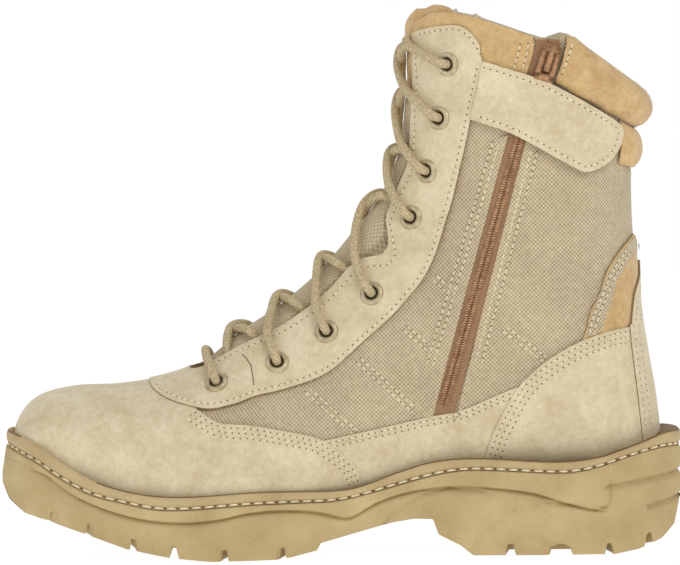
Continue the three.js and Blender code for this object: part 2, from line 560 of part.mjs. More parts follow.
// Padded collar rolls round the back, between two side lines
function placeAt(angle, line) {
  let [low, high] = [15, SECTIONS.length - 1];
  for (let i = 0; i < 30; i++) {
    const middle = (low + high) / 2;
    const p = skin(middle, angle);
    if (p.z < lineAt(line, p.x)) low = middle;
    else high = middle;
  }
  return (low + high) / 2;
}
const ROLL_BACK = -OVERLAY + GAP;
function roll(low, high, startAngle, endAngle, puff, steps) {
  const rings = Array.from({ length: steps + 1 }, (_, i) => {
    const u = i / steps;
    const angle = startAngle + (endAngle - startAngle) * u;
    const [a, b] = [placeAt(angle, low), placeAt(angle, high)];
    const fade = 0.35 + 0.65 * Math.sin(Math.PI * u) ** 0.6;
    const crown = [[0, ROLL_BACK], [0, 0], [0.2, 0.72], [0.5, 1], [0.8, 0.72], [1, 0], [1, ROLL_BACK]];
    return crown.map(([v, out]) => skinOut(a + (b - a) * v, angle, out > 0 ? out * puff * fade : out));
  });
  return solid(loft(rings));
}
const turn = (degrees) => degrees * Math.PI / 180;
piece('collar_roll_upper', roll(moved(ROLL_SEAM, half), moved(COLLAR_LINE, -half), turn(-18), turn(-174),
  ROLL_UPPER, 16), 'brown');
piece('collar_roll_lower', roll(moved(ROLL_BOTTOM, half), moved(ROLL_SEAM, -half), turn(-57), turn(-174),
  ROLL_LOWER, 12), 'brown');

// Zip: two tapes that meet at the teeth, the slider near the collar and its pull tab
const tapeLayer = form(-OVERLAY + TAPE).subtract(overlayUnder).subtract(overCollar);
const middleOf = (t) => ZIP_FRONT.map(([x, z], i) => {
  const [backX, backZ] = ZIP_BACK[i];
  return [x + (backX - x) * t, z + (backZ - z) * t];
});
const frontTape = [...ZIP_FRONT, ...middleOf(0.48).reverse()];
const backTape = [...middleOf(0.52), ...[...ZIP_BACK].reverse()];
piece('zip_tape_front', tapeLayer.intersect(sidePrism(frontTape, half, FAR)), 'zip');
piece('zip_tape_back', tapeLayer.intersect(sidePrism(backTape, half, FAR)), 'zip');

const strapLayer = form(GAP + STRAP).subtract(outerClear).subtract(overCollar);
piece('zip_strap', strapLayer.intersect(sidePrism(inset(STRAP_OUTLINE, half), half, FAR)), 'suede');

const centre = middleOf(0.5);
const zipWay = new THREE.Vector3(centre[1][0] - centre[2][0], 0, centre[1][1] - centre[2][1]);
const sliderSeat = seat(onSide(SLIDER_AT, 1), zipWay);
function slab(width, length, low, high, y = 0) {
  const g = new THREE.BoxGeometry(width, length, high - low);
  return g.translate(0, y, (low + high) / 2);
}
const LOW = 0.1;
const PLATE_TOP = LOW + SLIDER_PLATE;
const BRIDGE_LENGTH = SLIDER_LENGTH - 0.8;
const PIVOT_Y = SLIDER_LENGTH / 2 - 2.6;
const PIVOT_Z = PLATE_TOP + 1.2;
const BRIDGE_TOP = PIVOT_Z + 1.4 + BRIDGE_BAR;
let slider = solid(slab(SLIDER_WIDTH, SLIDER_LENGTH, LOW, PLATE_TOP));
slider = slider.add(solid(slab(BRIDGE_WIDTH, BRIDGE_LENGTH, BRIDGE_TOP - BRIDGE_BAR, BRIDGE_TOP)));
for (const end of [1, -1]) {
  const postY = end * (BRIDGE_LENGTH - BRIDGE_BAR) / 2;
  slider = slider.add(solid(slab(BRIDGE_WIDTH, BRIDGE_BAR, PLATE_TOP - 0.2, BRIDGE_TOP, postY)));
}
const sliderMesh = piece('zip_slider', slider, 'zip');
const BAR = 1.6;
const pullShape = new THREE.Shape();
const [pw, top, end, round] = [PULL_WIDTH / 2, BAR / 2, -PULL_REACH, 2.2];
pullShape.moveTo(-pw, top);
pullShape.lineTo(-pw, end + round);
pullShape.lineTo(-pw + round, end);
pullShape.lineTo(pw - round, end);
pullShape.lineTo(pw, end + round);
pullShape.lineTo(pw, top);
pullShape.closePath();
const SLOT_HALF = BRIDGE_WIDTH / 2 + 0.6;
const SLOT_END = -(PIVOT_Y + BRIDGE_LENGTH / 2 + 1.3);
const slotPath = new THREE.Path();
slotPath.moveTo(-SLOT_HALF, -BAR / 2);
slotPath.lineTo(SLOT_HALF, -BAR / 2);
slotPath.lineTo(SLOT_HALF, SLOT_END);
slotPath.lineTo(-SLOT_HALF, SLOT_END);
slotPath.closePath();
pullShape.holes.push(slotPath);
const pullGeometry = new THREE.ExtrudeGeometry(pullShape, { depth: PULL_THICK, bevelEnabled: false });
pullGeometry.translate(0, PIVOT_Y, PIVOT_Z - PULL_THICK / 2);
const pullMesh = piece('zip_pull', solid(pullGeometry), 'tab');
for (const mesh of [sliderMesh, pullMesh]) mesh.applyMatrix4(sliderSeat);

// Eyelets: a ring on the suede and a barrel through both layers
const RING_TOP = RING_SEAT + RING_HEIGHT;
const eyeletProfile = [
  [EYELET_HOLE / 2, -LIFT - WALL], [BARREL, -LIFT - WALL], [BARREL, RING_SEAT], [EYELET / 2, RING_SEAT],
  [EYELET / 2 - 0.6, RING_TOP], [EYELET_HOLE / 2, RING_TOP], [EYELET_HOLE / 2, -LIFT - WALL],
].map(([r, y]) => new THREE.Vector2(r, y));
for (const spot of eyeletSpots) {
  const ring = new THREE.LatheGeometry(eyeletProfile, RING_SIDES).rotateX(Math.PI / 2);
  const mesh = piece(`eyelet_${spot.sign > 0 ? 'medial' : 'lateral'}_${spot.number}`, solid(ring), 'eyelet');
  mesh.applyMatrix4(seat(spot));
}

// Lace
const LACE_SIDES = 6;
const laceSection = new THREE.Shape(Array.from({ length: LACE_SIDES }, (_, i) => {
  const angle = 2 * Math.PI * i / LACE_SIDES;
  return new THREE.Vector2(LACE / 2 * Math.cos(angle), LACE / 2 * Math.sin(angle));
}));
function strand(points, steps) {
  const path = new THREE.CatmullRomCurve3(points, false, 'centripetal');
  return solid(new THREE.ExtrudeGeometry(laceSection, { steps, bevelEnabled: false, extrudePath: path }));
}
const spotOf = (sign, number) => eyeletSpots.find((s) => s.sign === sign && s.number === number);
const CLEAR = LACE / 2 + GAP * 2;
function leave(sign, number) {
  const spot = spotOf(sign, number);
  const start = spot.at.clone().addScaledVector(spot.normal, RING_TOP + CLEAR + 0.8);
  const edge = onFront(spot.place, sign * (throatHalf(spot.place) + 1), CLEAR + 1.4);
  return [start, edge];
}
// Where a strand goes under the edge of an eyestay
const tuck = (sign, place) => onFront(place, sign * (throatHalf(place) - LACE), CLEAR);
const bottomMiddle = onFront(spotOf(1, 1).place, 0, CLEAR + 0.5);
piece('lace_bar', strand([...leave(1, 1), bottomMiddle, ...leave(-1, 1).reverse()], 7), 'lace');
for (let i = 1; i < EYELETS.length; i++) {
  const strands = [1, -1].map((sign) => {
    const [from, to] = [spotOf(sign, i), spotOf(-sign, i + 1)];
    const middle = onFront((from.place + to.place) / 2, 0, CLEAR + (i === 1 ? -0.2 : 0.5));
    const start = i === 1 ? [tuck(sign, from.place + 0.45)] : leave(sign, i);
    return strand([...start, middle, tuck(-sign, to.place - 0.4)], 5);
  });
  piece(`lace_crossing_${i}`, strands[0].add(strands[1]), 'lace');
}
for (const [name, sign] of [['medial', 1], ['lateral', -1]]) {
  const last = spotOf(sign, EYELETS.length);
  const landing = onFront(last.place, sign * (throatHalf(last.place) - 2), CLEAR + 1);
  piece(`lace_end_${name}`, strand([...leave(sign, EYELETS.length), landing], 4), 'lace');
}

// Origin: middle of the boot's box, on the floor
const box = new THREE.Box3().setFromObject(group);
const middle = box.getCenter(new THREE.Vector3());
group.position.set(-middle.x, -middle.y, -box.min.z);

export default group;
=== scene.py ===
# %% [markdown]
# # A combat boot in suede, woven nylon and rubber
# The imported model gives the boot's pieces at their real size. This lesson makes the fine surface of
# each piece around it. The camera looks at the inner side of a right boot, where the zip is.

# %% Load the frame
import math
import bmesh
import bpy
import numpy as np
from mathutils import Matrix, Vector


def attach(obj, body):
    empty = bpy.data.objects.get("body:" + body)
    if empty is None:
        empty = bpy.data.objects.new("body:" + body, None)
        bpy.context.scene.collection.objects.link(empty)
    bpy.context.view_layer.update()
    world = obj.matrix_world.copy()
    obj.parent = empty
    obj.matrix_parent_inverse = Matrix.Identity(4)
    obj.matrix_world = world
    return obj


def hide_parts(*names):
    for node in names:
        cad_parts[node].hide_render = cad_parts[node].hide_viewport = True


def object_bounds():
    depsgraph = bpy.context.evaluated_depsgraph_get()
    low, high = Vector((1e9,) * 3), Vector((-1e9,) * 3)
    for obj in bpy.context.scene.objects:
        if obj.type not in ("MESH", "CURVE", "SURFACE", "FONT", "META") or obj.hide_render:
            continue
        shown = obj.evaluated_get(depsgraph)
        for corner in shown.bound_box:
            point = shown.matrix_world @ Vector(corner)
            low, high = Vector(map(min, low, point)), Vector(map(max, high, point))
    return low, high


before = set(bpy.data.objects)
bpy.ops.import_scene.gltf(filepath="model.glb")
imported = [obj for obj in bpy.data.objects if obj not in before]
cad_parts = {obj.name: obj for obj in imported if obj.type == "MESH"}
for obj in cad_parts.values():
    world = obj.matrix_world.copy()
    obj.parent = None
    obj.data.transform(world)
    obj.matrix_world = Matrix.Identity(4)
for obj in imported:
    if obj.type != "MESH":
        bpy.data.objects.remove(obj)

cad_low, cad_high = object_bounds()
MM = 0.001

# %% [markdown]
# ## Sizes
# A boot is built on a last, so every piece here is cut from one form. The form is a fan of sections
# from the toe's tip, over the instep and up the shaft. The same table drives the solids, and here it
# is read finely. Lengths are in millimetres with the heel at x = 0, and shift moves them to the frame.

# %% Sizes of the last, the sole and the sewn pieces
LENGTH = 308.0
HEIGHT = 250.0
BALL_WIDTH = 110.0
WALL = 2.5
OVERLAY = 1.5
GAP = 0.3
LIFT = OVERLAY + GAP
SECTIONS = np.array([  # front x, z, back x, z, middle, half, wide, over, under
    (0.976, 0.152, 0.961, 0.127, 0.059, 0.070, 0.50, 2.2, 2.2),
    (0.982, 0.184, 0.946, 0.118, 0.059, 0.180, 0.45, 2.2, 2.4),
    (0.977, 0.242, 0.923, 0.110, 0.055, 0.262, 0.36, 2.2, 2.8),
    (0.948, 0.285, 0.891, 0.100, 0.047, 0.328, 0.32, 2.3, 3.1),
    (0.893, 0.303, 0.844, 0.086, 0.036, 0.384, 0.30, 2.3, 3.3),
    (0.827, 0.306, 0.776, 0.074, 0.024, 0.426, 0.28, 2.3, 3.5),
    (0.760, 0.319, 0.705, 0.070, 0.011, 0.445, 0.26, 2.2, 3.5),
    (0.708, 0.344, 0.631, 0.071, 0.000, 0.432, 0.25, 2.1, 3.4),
    (0.649, 0.402, 0.554, 0.079, -0.013, 0.400, 0.25, 2.0, 3.3),
    (0.592, 0.448, 0.471, 0.092, -0.024, 0.359, 0.27, 2.0, 3.1),
    (0.532, 0.510, 0.379, 0.108, -0.025, 0.332, 0.30, 2.0, 3.0),
    (0.484, 0.578, 0.278, 0.119, -0.020, 0.323, 0.34, 2.0, 2.9),
    (0.446, 0.636, 0.178, 0.124, -0.013, 0.323, 0.38, 2.0, 2.8),
    (0.425, 0.690, 0.095, 0.124, -0.005, 0.327, 0.42, 2.0, 2.6),
    (0.412, 0.730, 0.047, 0.142, 0.000, 0.332, 0.46, 2.0, 2.3),
    (0.408, 0.766, 0.034, 0.197, 0.000, 0.335, 0.48, 2.0, 2.2),
    (0.405, 0.799, 0.038, 0.270, 0.000, 0.333, 0.49, 2.05, 2.2),
    (0.403, 0.828, 0.049, 0.354, 0.000, 0.327, 0.49, 2.1, 2.2),
    (0.401, 0.853, 0.059, 0.438, 0.000, 0.322, 0.49, 2.1, 2.2),
    (0.401, 0.875, 0.061, 0.518, 0.000, 0.320, 0.49, 2.1, 2.2),
    (0.401, 0.897, 0.065, 0.602, 0.000, 0.322, 0.49, 2.1, 2.2),
    (0.401, 0.922, 0.066, 0.678, 0.000, 0.325, 0.49, 2.1, 2.2),
    (0.401, 0.952, 0.065, 0.755, 0.000, 0.331, 0.49, 2.1, 2.2),
    (0.398, 0.992, 0.058, 0.832, 0.000, 0.336, 0.49, 2.1, 2.2),
    (0.393, 1.048, 0.052, 0.928, 0.000, 0.341, 0.49, 2.1, 2.2),
])
LAST_PLACE = len(SECTIONS) - 1
SOLE_PLAN = np.array([          # along, middle, half
    (0.000, 0.000, 0.080), (0.008, 0.000, 0.140), (0.030, 0.000, 0.225), (0.070, 0.000, 0.298),
    (0.130, 0.000, 0.345), (0.200, -0.003, 0.362), (0.290, -0.015, 0.362), (0.380, -0.030, 0.362),
    (0.460, -0.034, 0.382), (0.540, -0.027, 0.420), (0.620, -0.014, 0.466), (0.700, 0.000, 0.494),
    (0.760, 0.009, 0.498), (0.830, 0.023, 0.468), (0.890, 0.036, 0.411), (0.940, 0.048, 0.327),
    (0.972, 0.057, 0.238), (0.992, 0.062, 0.138), (1.000, 0.064, 0.060),
])


def side(*points):
    """Points of the side view: x as a share of the length, z as a share of the height."""
    return np.array(points) * (LENGTH, HEIGHT)


SEAM_LINE = side(
    (0.000, 0.216), (0.021, 0.216), (0.043, 0.208), (0.061, 0.200), (0.092, 0.188), (0.128, 0.175),
    (0.191, 0.169), (0.294, 0.176), (0.361, 0.172), (0.417, 0.153), (0.471, 0.129), (0.513, 0.122),
    (0.619, 0.124), (0.727, 0.119), (0.788, 0.124), (0.840, 0.139), (0.879, 0.159), (0.910, 0.181),
    (0.936, 0.203), (0.965, 0.219), (1.000, 0.229))
STITCH_LINE = side(
    (0.000, 0.186), (0.031, 0.187), (0.078, 0.175), (0.120, 0.159), (0.155, 0.150), (0.191, 0.148),
    (0.294, 0.154), (0.335, 0.152), (0.380, 0.141), (0.446, 0.119), (0.505, 0.103), (0.562, 0.101),
    (0.630, 0.100), (0.752, 0.094), (0.820, 0.108), (0.870, 0.124), (0.920, 0.156), (0.950, 0.178),
    (1.000, 0.200))
STEP_LINE = side(
    (0.121, 0.080), (0.169, 0.093), (0.218, 0.112), (0.266, 0.121), (0.327, 0.126), (0.393, 0.119),
    (0.442, 0.102), (0.480, 0.077), (0.494, 0.073), (0.510, 0.077), (0.538, 0.085), (0.584, 0.090),
    (0.634, 0.087), (0.678, 0.077), (0.727, 0.073), (0.776, 0.077), (0.826, 0.090), (0.875, 0.112),
    (0.905, 0.132), (0.932, 0.156))
FOOTBED_LINE = side(
    (0.000, 0.124), (0.178, 0.124), (0.278, 0.119), (0.379, 0.108), (0.471, 0.092), (0.554, 0.079),
    (0.631, 0.071), (0.705, 0.070), (0.776, 0.074), (0.844, 0.086), (0.891, 0.100), (0.946, 0.118),
    (1.000, 0.136))
TREAD_LINE = side(
    (0.003, 0.094), (0.012, 0.048), (0.032, 0.024), (0.066, 0.008), (0.104, 0.000), (0.310, 0.000),
    (0.328, 0.018), (0.360, 0.038), (0.368, 0.066), (0.395, 0.067), (0.430, 0.060), (0.490, 0.040),
    (0.530, 0.027), (0.536, 0.014), (0.575, 0.003), (0.590, 0.000), (0.690, 0.000), (0.752, 0.009),
    (0.815, 0.025), (0.876, 0.051), (0.926, 0.070), (0.964, 0.086), (0.988, 0.108), (0.999, 0.135))
COLLAR_LINE = side(
    (0.000, 0.765), (0.033, 0.812), (0.048, 0.832), (0.090, 0.870), (0.139, 0.914), (0.155, 0.931),
    (0.168, 0.934), (0.192, 0.924), (0.219, 0.934), (0.256, 0.950), (0.300, 0.968), (0.335, 0.977),
    (0.362, 0.976), (0.384, 0.961), (0.398, 0.940), (0.430, 0.900))
ROLL_SEAM = side((0.000, 0.716), (0.057, 0.756), (0.090, 0.781), (0.139, 0.815), (0.188, 0.849),
                 (0.300, 0.920))
ROLL_BOTTOM = side((0.000, 0.672), (0.062, 0.689), (0.104, 0.706), (0.140, 0.724), (0.250, 0.785))
THROAT_START = 6.75
THROAT_PLACES = (THROAT_START, 7, 7.5, 8, 9, 10, 10.6, 11, 11.4, 11.7, 12, 12.5, 14, 17, 21, LAST_PLACE)
THROAT_HALF = (0.090, 0.132, 0.156, 0.173, 0.175, 0.165, 0.155, 0.169, 0.195, 0.189, 0.135, 0.124,
               0.127, 0.127, 0.130, 0.133)
EYELETS = side((0.681, 0.314), (0.593, 0.349), (0.520, 0.403), (0.453, 0.471),
               (0.394, 0.607), (0.370, 0.691), (0.352, 0.787), (0.339, 0.884))


def smooth_rows(rows, place):
    """Row of a table between its rows, on a smooth curve."""
    place = np.clip(np.asarray(place, float), 0, len(rows) - 1)
    i = np.minimum(place.astype(int), len(rows) - 2)
    u = (place - i)[..., None]
    a, b, c, d = (rows[np.clip(i + k, 0, len(rows) - 1)] for k in (-1, 0, 1, 2))
    return 0.5 * (2 * b + (c - a) * u + (2 * a - 5 * b + 4 * c - d) * u ** 2
                  + (3 * b - a - 3 * c + d) * u ** 3)


def line_at(line, x):
    return np.interp(x, line[:, 0], line[:, 1])


def run_along(points):
    """Length of a line of points, counted up to each of them."""
    return np.concatenate(([0], np.cumsum(np.linalg.norm(np.diff(points, axis=0), axis=1))))


def at_run(at, run, points):
    """Points of a line at the given lengths along it."""
    return np.stack([np.interp(at, run, column) for column in points.T], -1)


plan = smooth_rows(SOLE_PLAN, np.linspace(0, len(SOLE_PLAN) - 1, 400))
plan_x = plan[:, 0] * LENGTH
inner_reach = (plan[:, 1] + plan[:, 2]).max() * BALL_WIDTH
shift = np.array((LENGTH - cad_high.x / MM, inner_reach - cad_high.y / MM, 0))
print("last to frame, mm:", shift.round(2))

# %% [markdown]
# ## The last as a function
# place runs over the sections and angle runs round one, in degrees: 90 is the front, -90 the back
# and 0 the inner side. out moves a point off the form along its normal, so a lining, a sewn layer
# and a stitch all come from one function with another distance.

# %% The form
PLACE_NUDGE = 0.02    # of a place, to each side, for a normal
ANGLE_NUDGE = 1.0     # degree


def skin(place, angle):
    s = smooth_rows(SECTIONS, place)
    front_x, front_z, back_x, back_z, middle, half, wide, over, under = np.moveaxis(s, -1, 0)
    turn = np.radians(angle)
    across, up = np.cos(turn), np.sin(turn)
    power = 2 / np.where(up >= 0, over, under)
    rise = np.abs(up) ** power
    h = np.where(up >= 0, wide + (1 - wide) * rise, wide * (1 - rise))
    return np.stack(((back_x + (front_x - back_x) * h) * LENGTH,
                     (middle + half * np.sign(across) * np.abs(across) ** power) * BALL_WIDTH,
                     (back_z + (front_z - back_z) * h) * HEIGHT), -1)


def outward(place, angle):
    place, angle = np.broadcast_arrays(np.asarray(place, float), np.asarray(angle, float))
    above, under = np.minimum(place + PLACE_NUDGE, LAST_PLACE), np.maximum(place - PLACE_NUDGE, 0)
    along = skin(above, angle) - skin(under, angle)
    around = skin(place, angle + ANGLE_NUDGE) - skin(place, angle - ANGLE_NUDGE)
    normal = np.cross(along, around)
    return normal / np.maximum(np.linalg.norm(normal, axis=-1, keepdims=True), 1e-9)


def skin_out(place, angle, out):
    return skin(place, angle) + outward(place, angle) * np.asarray(out, float)[..., None]


grid_place, grid_angle = np.meshgrid(np.linspace(0.5, LAST_PLACE, 380), np.linspace(-90, 90, 241),
                                     indexing="ij")
grid_skin = skin(grid_place, grid_angle)[..., [0, 2]].reshape(-1, 2)


def locate(points):
    """Places and angles on the inner side whose side view is the given x and z."""
    points = np.atleast_2d(points)
    near = np.array([np.argmin(((grid_skin - p) ** 2).sum(1)) for p in points])
    place, angle = grid_place.ravel()[near].copy(), grid_angle.ravel()[near].copy()
    for _ in range(6):
        here = skin(place, angle)[:, [0, 2]]
        dp = (skin(place + 0.01, angle)[:, [0, 2]] - here) / 0.01
        da = (skin(place, angle + 0.2)[:, [0, 2]] - here) / 0.2
        det = dp[:, 0] * da[:, 1] - dp[:, 1] * da[:, 0]
        det = np.where(np.abs(det) < 1e-3, np.inf, det)
        gap = points - here
        place = np.clip(place + np.clip((gap[:, 0] * da[:, 1] - gap[:, 1] * da[:, 0]) / det, -0.3, 0.3),
                        0.3, LAST_PLACE)
        angle = np.clip(angle + np.clip((dp[:, 0] * gap[:, 1] - dp[:, 1] * gap[:, 0]) / det, -4, 4), -90, 90)
    return np.stack((place, angle), -1)


def solve_angle(place, line, drop=0.0):
    """Angle on the inner side where a section crosses a side line, or -90 where it lies above it."""
    low, high = np.full(len(place), -90.0), np.full(len(place), 90.0)
    for _ in range(30):
        mid = (low + high) / 2
        p = skin(place, mid)
        below = p[:, 2] < line_at(line, p[:, 0]) - drop
        low, high = np.where(below, mid, low), np.where(below, high, mid)
    return high


def solve_place(angle, line, start=15.0):
    """Place where the line of one angle up the shaft crosses a side line."""
    angle = np.asarray(angle, float)
    low, high = np.full(angle.shape, start), np.full(angle.shape, float(LAST_PLACE))
    for _ in range(30):
        mid = (low + high) / 2
        p = skin(mid, angle)
        below = p[..., 2] < line_at(line, p[..., 0])
        low, high = np.where(below, mid, low), np.where(below, high, mid)
    return (low + high) / 2


def throat_half(place):
    return np.interp(place, THROAT_PLACES, THROAT_HALF) * BALL_WIDTH


def angle_at(place, y):
    """Front angle of a section at a distance y from its middle line."""
    s = smooth_rows(SECTIONS, place)
    across = np.clip(np.abs(y) / (s[..., 5] * BALL_WIDTH), 0, 0.999) ** (s[..., 7] / 2)
    turn = np.degrees(np.arccos(across))
    return np.where(np.asarray(y) >= 0, turn, 180 - turn)


# %% [markdown]
# ## Soft folds
# A boot that has been worn bends across the ball of the foot and in front of the ankle. Each fold is
# one row: where it runs in the side view, how wide and how deep it is. Negative depths are ridges.

# %% Folds
FOLDS = (  # x0, z0, x1, z1 as shares, width and depth in mm
    (0.700, 0.300, 0.655, 0.215, 5.0, 0.7), (0.735, 0.285, 0.700, 0.210, 6.0, -0.35),
    (0.385, 0.500, 0.330, 0.445, 6.0, 0.9), (0.372, 0.560, 0.300, 0.520, 6.5, 0.9),
    (0.385, 0.535, 0.310, 0.480, 6.0, -0.6), (0.330, 0.640, 0.265, 0.600, 8.0, 0.6),
    (0.190, 0.440, 0.140, 0.470, 7.0, 0.5), (0.200, 0.560, 0.110, 0.600, 9.0, 0.5),
    (0.270, 0.330, 0.420, 0.300, 9.0, 0.4),
)


def line_gap(x, z, a, b):
    """Distance in the side view from points to the line between two points."""
    t = np.clip(((x - a[0]) * (b - a)[0] + (z - a[1]) * (b - a)[1]) / ((b - a) ** 2).sum(), 0, 1)
    return np.hypot(x - a[0] - t * (b - a)[0], z - a[1] - t * (b - a)[1])


def fold_depth(x, z):
    total = np.zeros(np.shape(x))
    for x0, z0, x1, z1, width, depth in FOLDS:
        total -= depth * np.exp(-(line_gap(x, z, *side((x0, z0), (x1, z1))) / width) ** 2)
    return total


# %% [markdown]
# ## Studio
# The photograph is a product picture on white: soft light from all round and a long lens a little
# above the sole's level. The camera's distance, height and roll follow the boot in the picture.

# %% Camera, lights and floor
IMAGE_WIDTH = 680
PIXELS_PER_MM = 2.2
CAMERA_DISTANCE = 2600.0
CAMERA_RISE = math.radians(3.5)
CAMERA_ROLL = math.radians(0.6)
AIM = Vector((154.0 - shift[0], 0.0, 121.6)) * MM
SENSOR = 36.0
SKY_LIGHT = 0.47
LAMP_AIM = Vector((0, 0, 0.12))


def put(name, data):
    """A new object in the scene."""
    made = bpy.data.objects.new(name, data)
    bpy.context.scene.collection.objects.link(made)
    return made


camera_data = bpy.data.cameras.new("camera")
camera = put("camera", camera_data)
rise_sin, rise_cos = math.sin(CAMERA_RISE), math.cos(CAMERA_RISE)
roll_sin, roll_cos = math.sin(CAMERA_ROLL), math.cos(CAMERA_ROLL)
level_right, level_up = Vector((-1, 0, 0)), Vector((0, -rise_sin, rise_cos))
back = Vector((0, rise_cos, rise_sin))
right = level_right * roll_cos - level_up * roll_sin
up = level_right * roll_sin + level_up * roll_cos
turn = Matrix((right, up, back)).transposed().to_4x4()
camera.matrix_world = Matrix.Translation(AIM + back * CAMERA_DISTANCE * MM) @ turn
camera_data.sensor_width = SENSOR
camera_data.lens = PIXELS_PER_MM * CAMERA_DISTANCE / IMAGE_WIDTH * SENSOR
camera_data.clip_end = 20
bpy.context.scene.camera = camera

world = bpy.data.worlds.new("studio")
bpy.context.scene.world = world
world.use_nodes = True
bpy.context.scene.view_settings.view_transform = "Standard"
sky = world.node_tree.nodes["Background"]
sky.inputs["Color"].default_value = (1, 1, 1, 1)
sky.inputs["Strength"].default_value = SKY_LIGHT
seen = world.node_tree.nodes.new("ShaderNodeBackground")
seen.inputs["Color"].default_value = (1, 1, 1, 1)
rays = world.node_tree.nodes.new("ShaderNodeLightPath")
either = world.node_tree.nodes.new("ShaderNodeMixShader")
world.node_tree.links.new(rays.outputs["Is Camera Ray"], either.inputs[0])
world.node_tree.links.new(sky.outputs[0], either.inputs[1])
world.node_tree.links.new(seen.outputs[0], either.inputs[2])
world.node_tree.links.new(either.outputs[0], world.node_tree.nodes["World Output"].inputs["Surface"])

LAMPS = (  # name, place and size in metres, power in watts
    ("key", (-0.7, 1.4, 1.3), 1.0, 10.5), ("fill", (1.2, 1.0, 0.9), 1.2, 3.5),
    ("back", (0.2, -1.4, 1.2), 1.2, 7.0),
)
for name, place, size, power in LAMPS:
    data = bpy.data.lights.new(name, "AREA")
    data.shape, data.size, data.energy = "SQUARE", size, power
    lamp = put(name, data)
    lamp.location = place
    lamp.rotation_euler = (LAMP_AIM - lamp.location).to_track_quat("-Z", "Y").to_euler()

floor_bm = bmesh.new()
bmesh.ops.create_grid(floor_bm, x_segments=1, y_segments=1, size=6)
floor_mesh = bpy.data.meshes.new("floor")
floor_bm.to_mesh(floor_mesh)
floor_bm.free()
floor = put("floor", floor_mesh)

# %% [markdown]
# ## Materials
# One function turns a hex colour into the linear values that shaders take, and one adds a node.
# Suede, nylon, rubber and thread are all matt, so their character is in small bumps and in tone.

# %% Node helpers


def linear(hexed):
    channels = [int(hexed[i:i + 2], 16) / 255 for i in (1, 3, 5)]
    return [c / 12.92 if c <= 0.04045 else ((c + 0.055) / 1.055) ** 2.4 for c in channels] + [1.0]


def add(tree, kind, inputs=None, **settings):
    made = tree.nodes.new(kind)
    for key, value in settings.items():
        setattr(made, key, value)
    for key, value in (inputs or {}).items():
        if isinstance(value, bpy.types.NodeSocket):
            tree.links.new(value, made.inputs[key])
        else:
            made.inputs[key].default_value = value
    return made


def blank(name, roughness, metallic=0.0, sheen=0.0):
    """A material with one shader: its roughness, metal and sheen are plain numbers on its sockets."""
    material = bpy.data.materials.new(name)
    material.use_nodes = True
    tree = material.node_tree
    shader = tree.nodes["Principled BSDF"]
    shader.inputs["Roughness"].default_value = roughness
    shader.inputs["Metallic"].default_value = metallic
    if sheen:
        shader.inputs["Sheen Weight"].default_value = sheen
        shader.inputs["Sheen Roughness"].default_value = 0.5
    return material, tree, shader


def noise(tree, period_mm, detail):
    coords = add(tree, "ShaderNodeTexCoord").outputs["Object"]
    inputs = {"Vector": coords, "Scale": 1000 / period_mm, "Detail": detail}
    return add(tree, "ShaderNodeTexNoise", inputs).outputs[0]


def times(tree, value, share, more=0.0):
    """value times share, and more added to it."""
    inputs = {0: value, 1: share, 2: more}
    return add(tree, "ShaderNodeMath", inputs, operation="MULTIPLY_ADD").outputs[0]


def paint(tree, shader, tone, low, high, dark, light):
    """The shader's colour: the dark hex where tone is low, the light one where it is high."""
    factor = add(tree, "ShaderNodeMapRange", {"Value": tone, "From Min": low, "From Max": high})
    mixed = add(tree, "ShaderNodeMix", {0: factor.outputs[0]}, data_type="RGBA")
    mixed.inputs[6].default_value, mixed.inputs[7].default_value = linear(dark), linear(light)
    tree.links.new(mixed.outputs[2], shader.inputs["Base Color"])


def bump(tree, shader, height, depth_mm, strength=1.0, normal=None):
    inputs = {"Height": height, "Distance": depth_mm * MM, "Strength": strength}
    if normal:
        inputs["Normal"] = normal
    made = add(tree, "ShaderNodeBump", inputs)
    tree.links.new(made.outputs[0], shader.inputs["Normal"])
    return made.outputs[0]


# %% [markdown]
# ### Suede
# Suede is the flesh side of the hide, buffed to a nap: cloudy where the nap lies one way or the other,
# with a fine fuzz. Clouds are about 14 mm, patches 3 mm, and the fuzz is drawn at 0.8 mm, coarser
# than the real nap, so that it shows.

# %% Suede


def suede(name, dark, light):
    material, tree, shader = blank(name, 0.93, sheen=0.25)
    cloud, patch, fuzz = noise(tree, 14, 2), noise(tree, 3, 4), noise(tree, 0.8, 5)
    tone = times(tree, fuzz, 0.35, times(tree, patch, 0.35, times(tree, cloud, 0.45)))
    paint(tree, shader, tone, 0.42, 0.72, dark, light)
    nap = bump(tree, shader, fuzz, 0.25, 0.5)
    bump(tree, shader, patch, 0.5, 0.35, nap)
    return material


light_suede = suede("sand suede leather", "#CDBB94", "#E8DAB9")
brown_suede = suede("tan suede leather", "#BF9A65", "#DFBF8A")
# The rim colour is the hide's darker cut edge, made darker still as painted shade along the step where one
# piece lies over the next.
cut_edge_and_shade = suede("cut edge of the hide and painted shade", "#7E6440", "#9C8058")

# %% [markdown]
# ### Woven nylon
# The quarters are a heavy plain-weave nylon. Threads pass over and under each other like a chess
# board. The real threads lie 0.6 mm apart, which a picture this size can't hold, so the weave is
# drawn at 0.95 mm. Its pattern follows the cloth through the UV map, which holds millimetres.

# %% Woven cloth


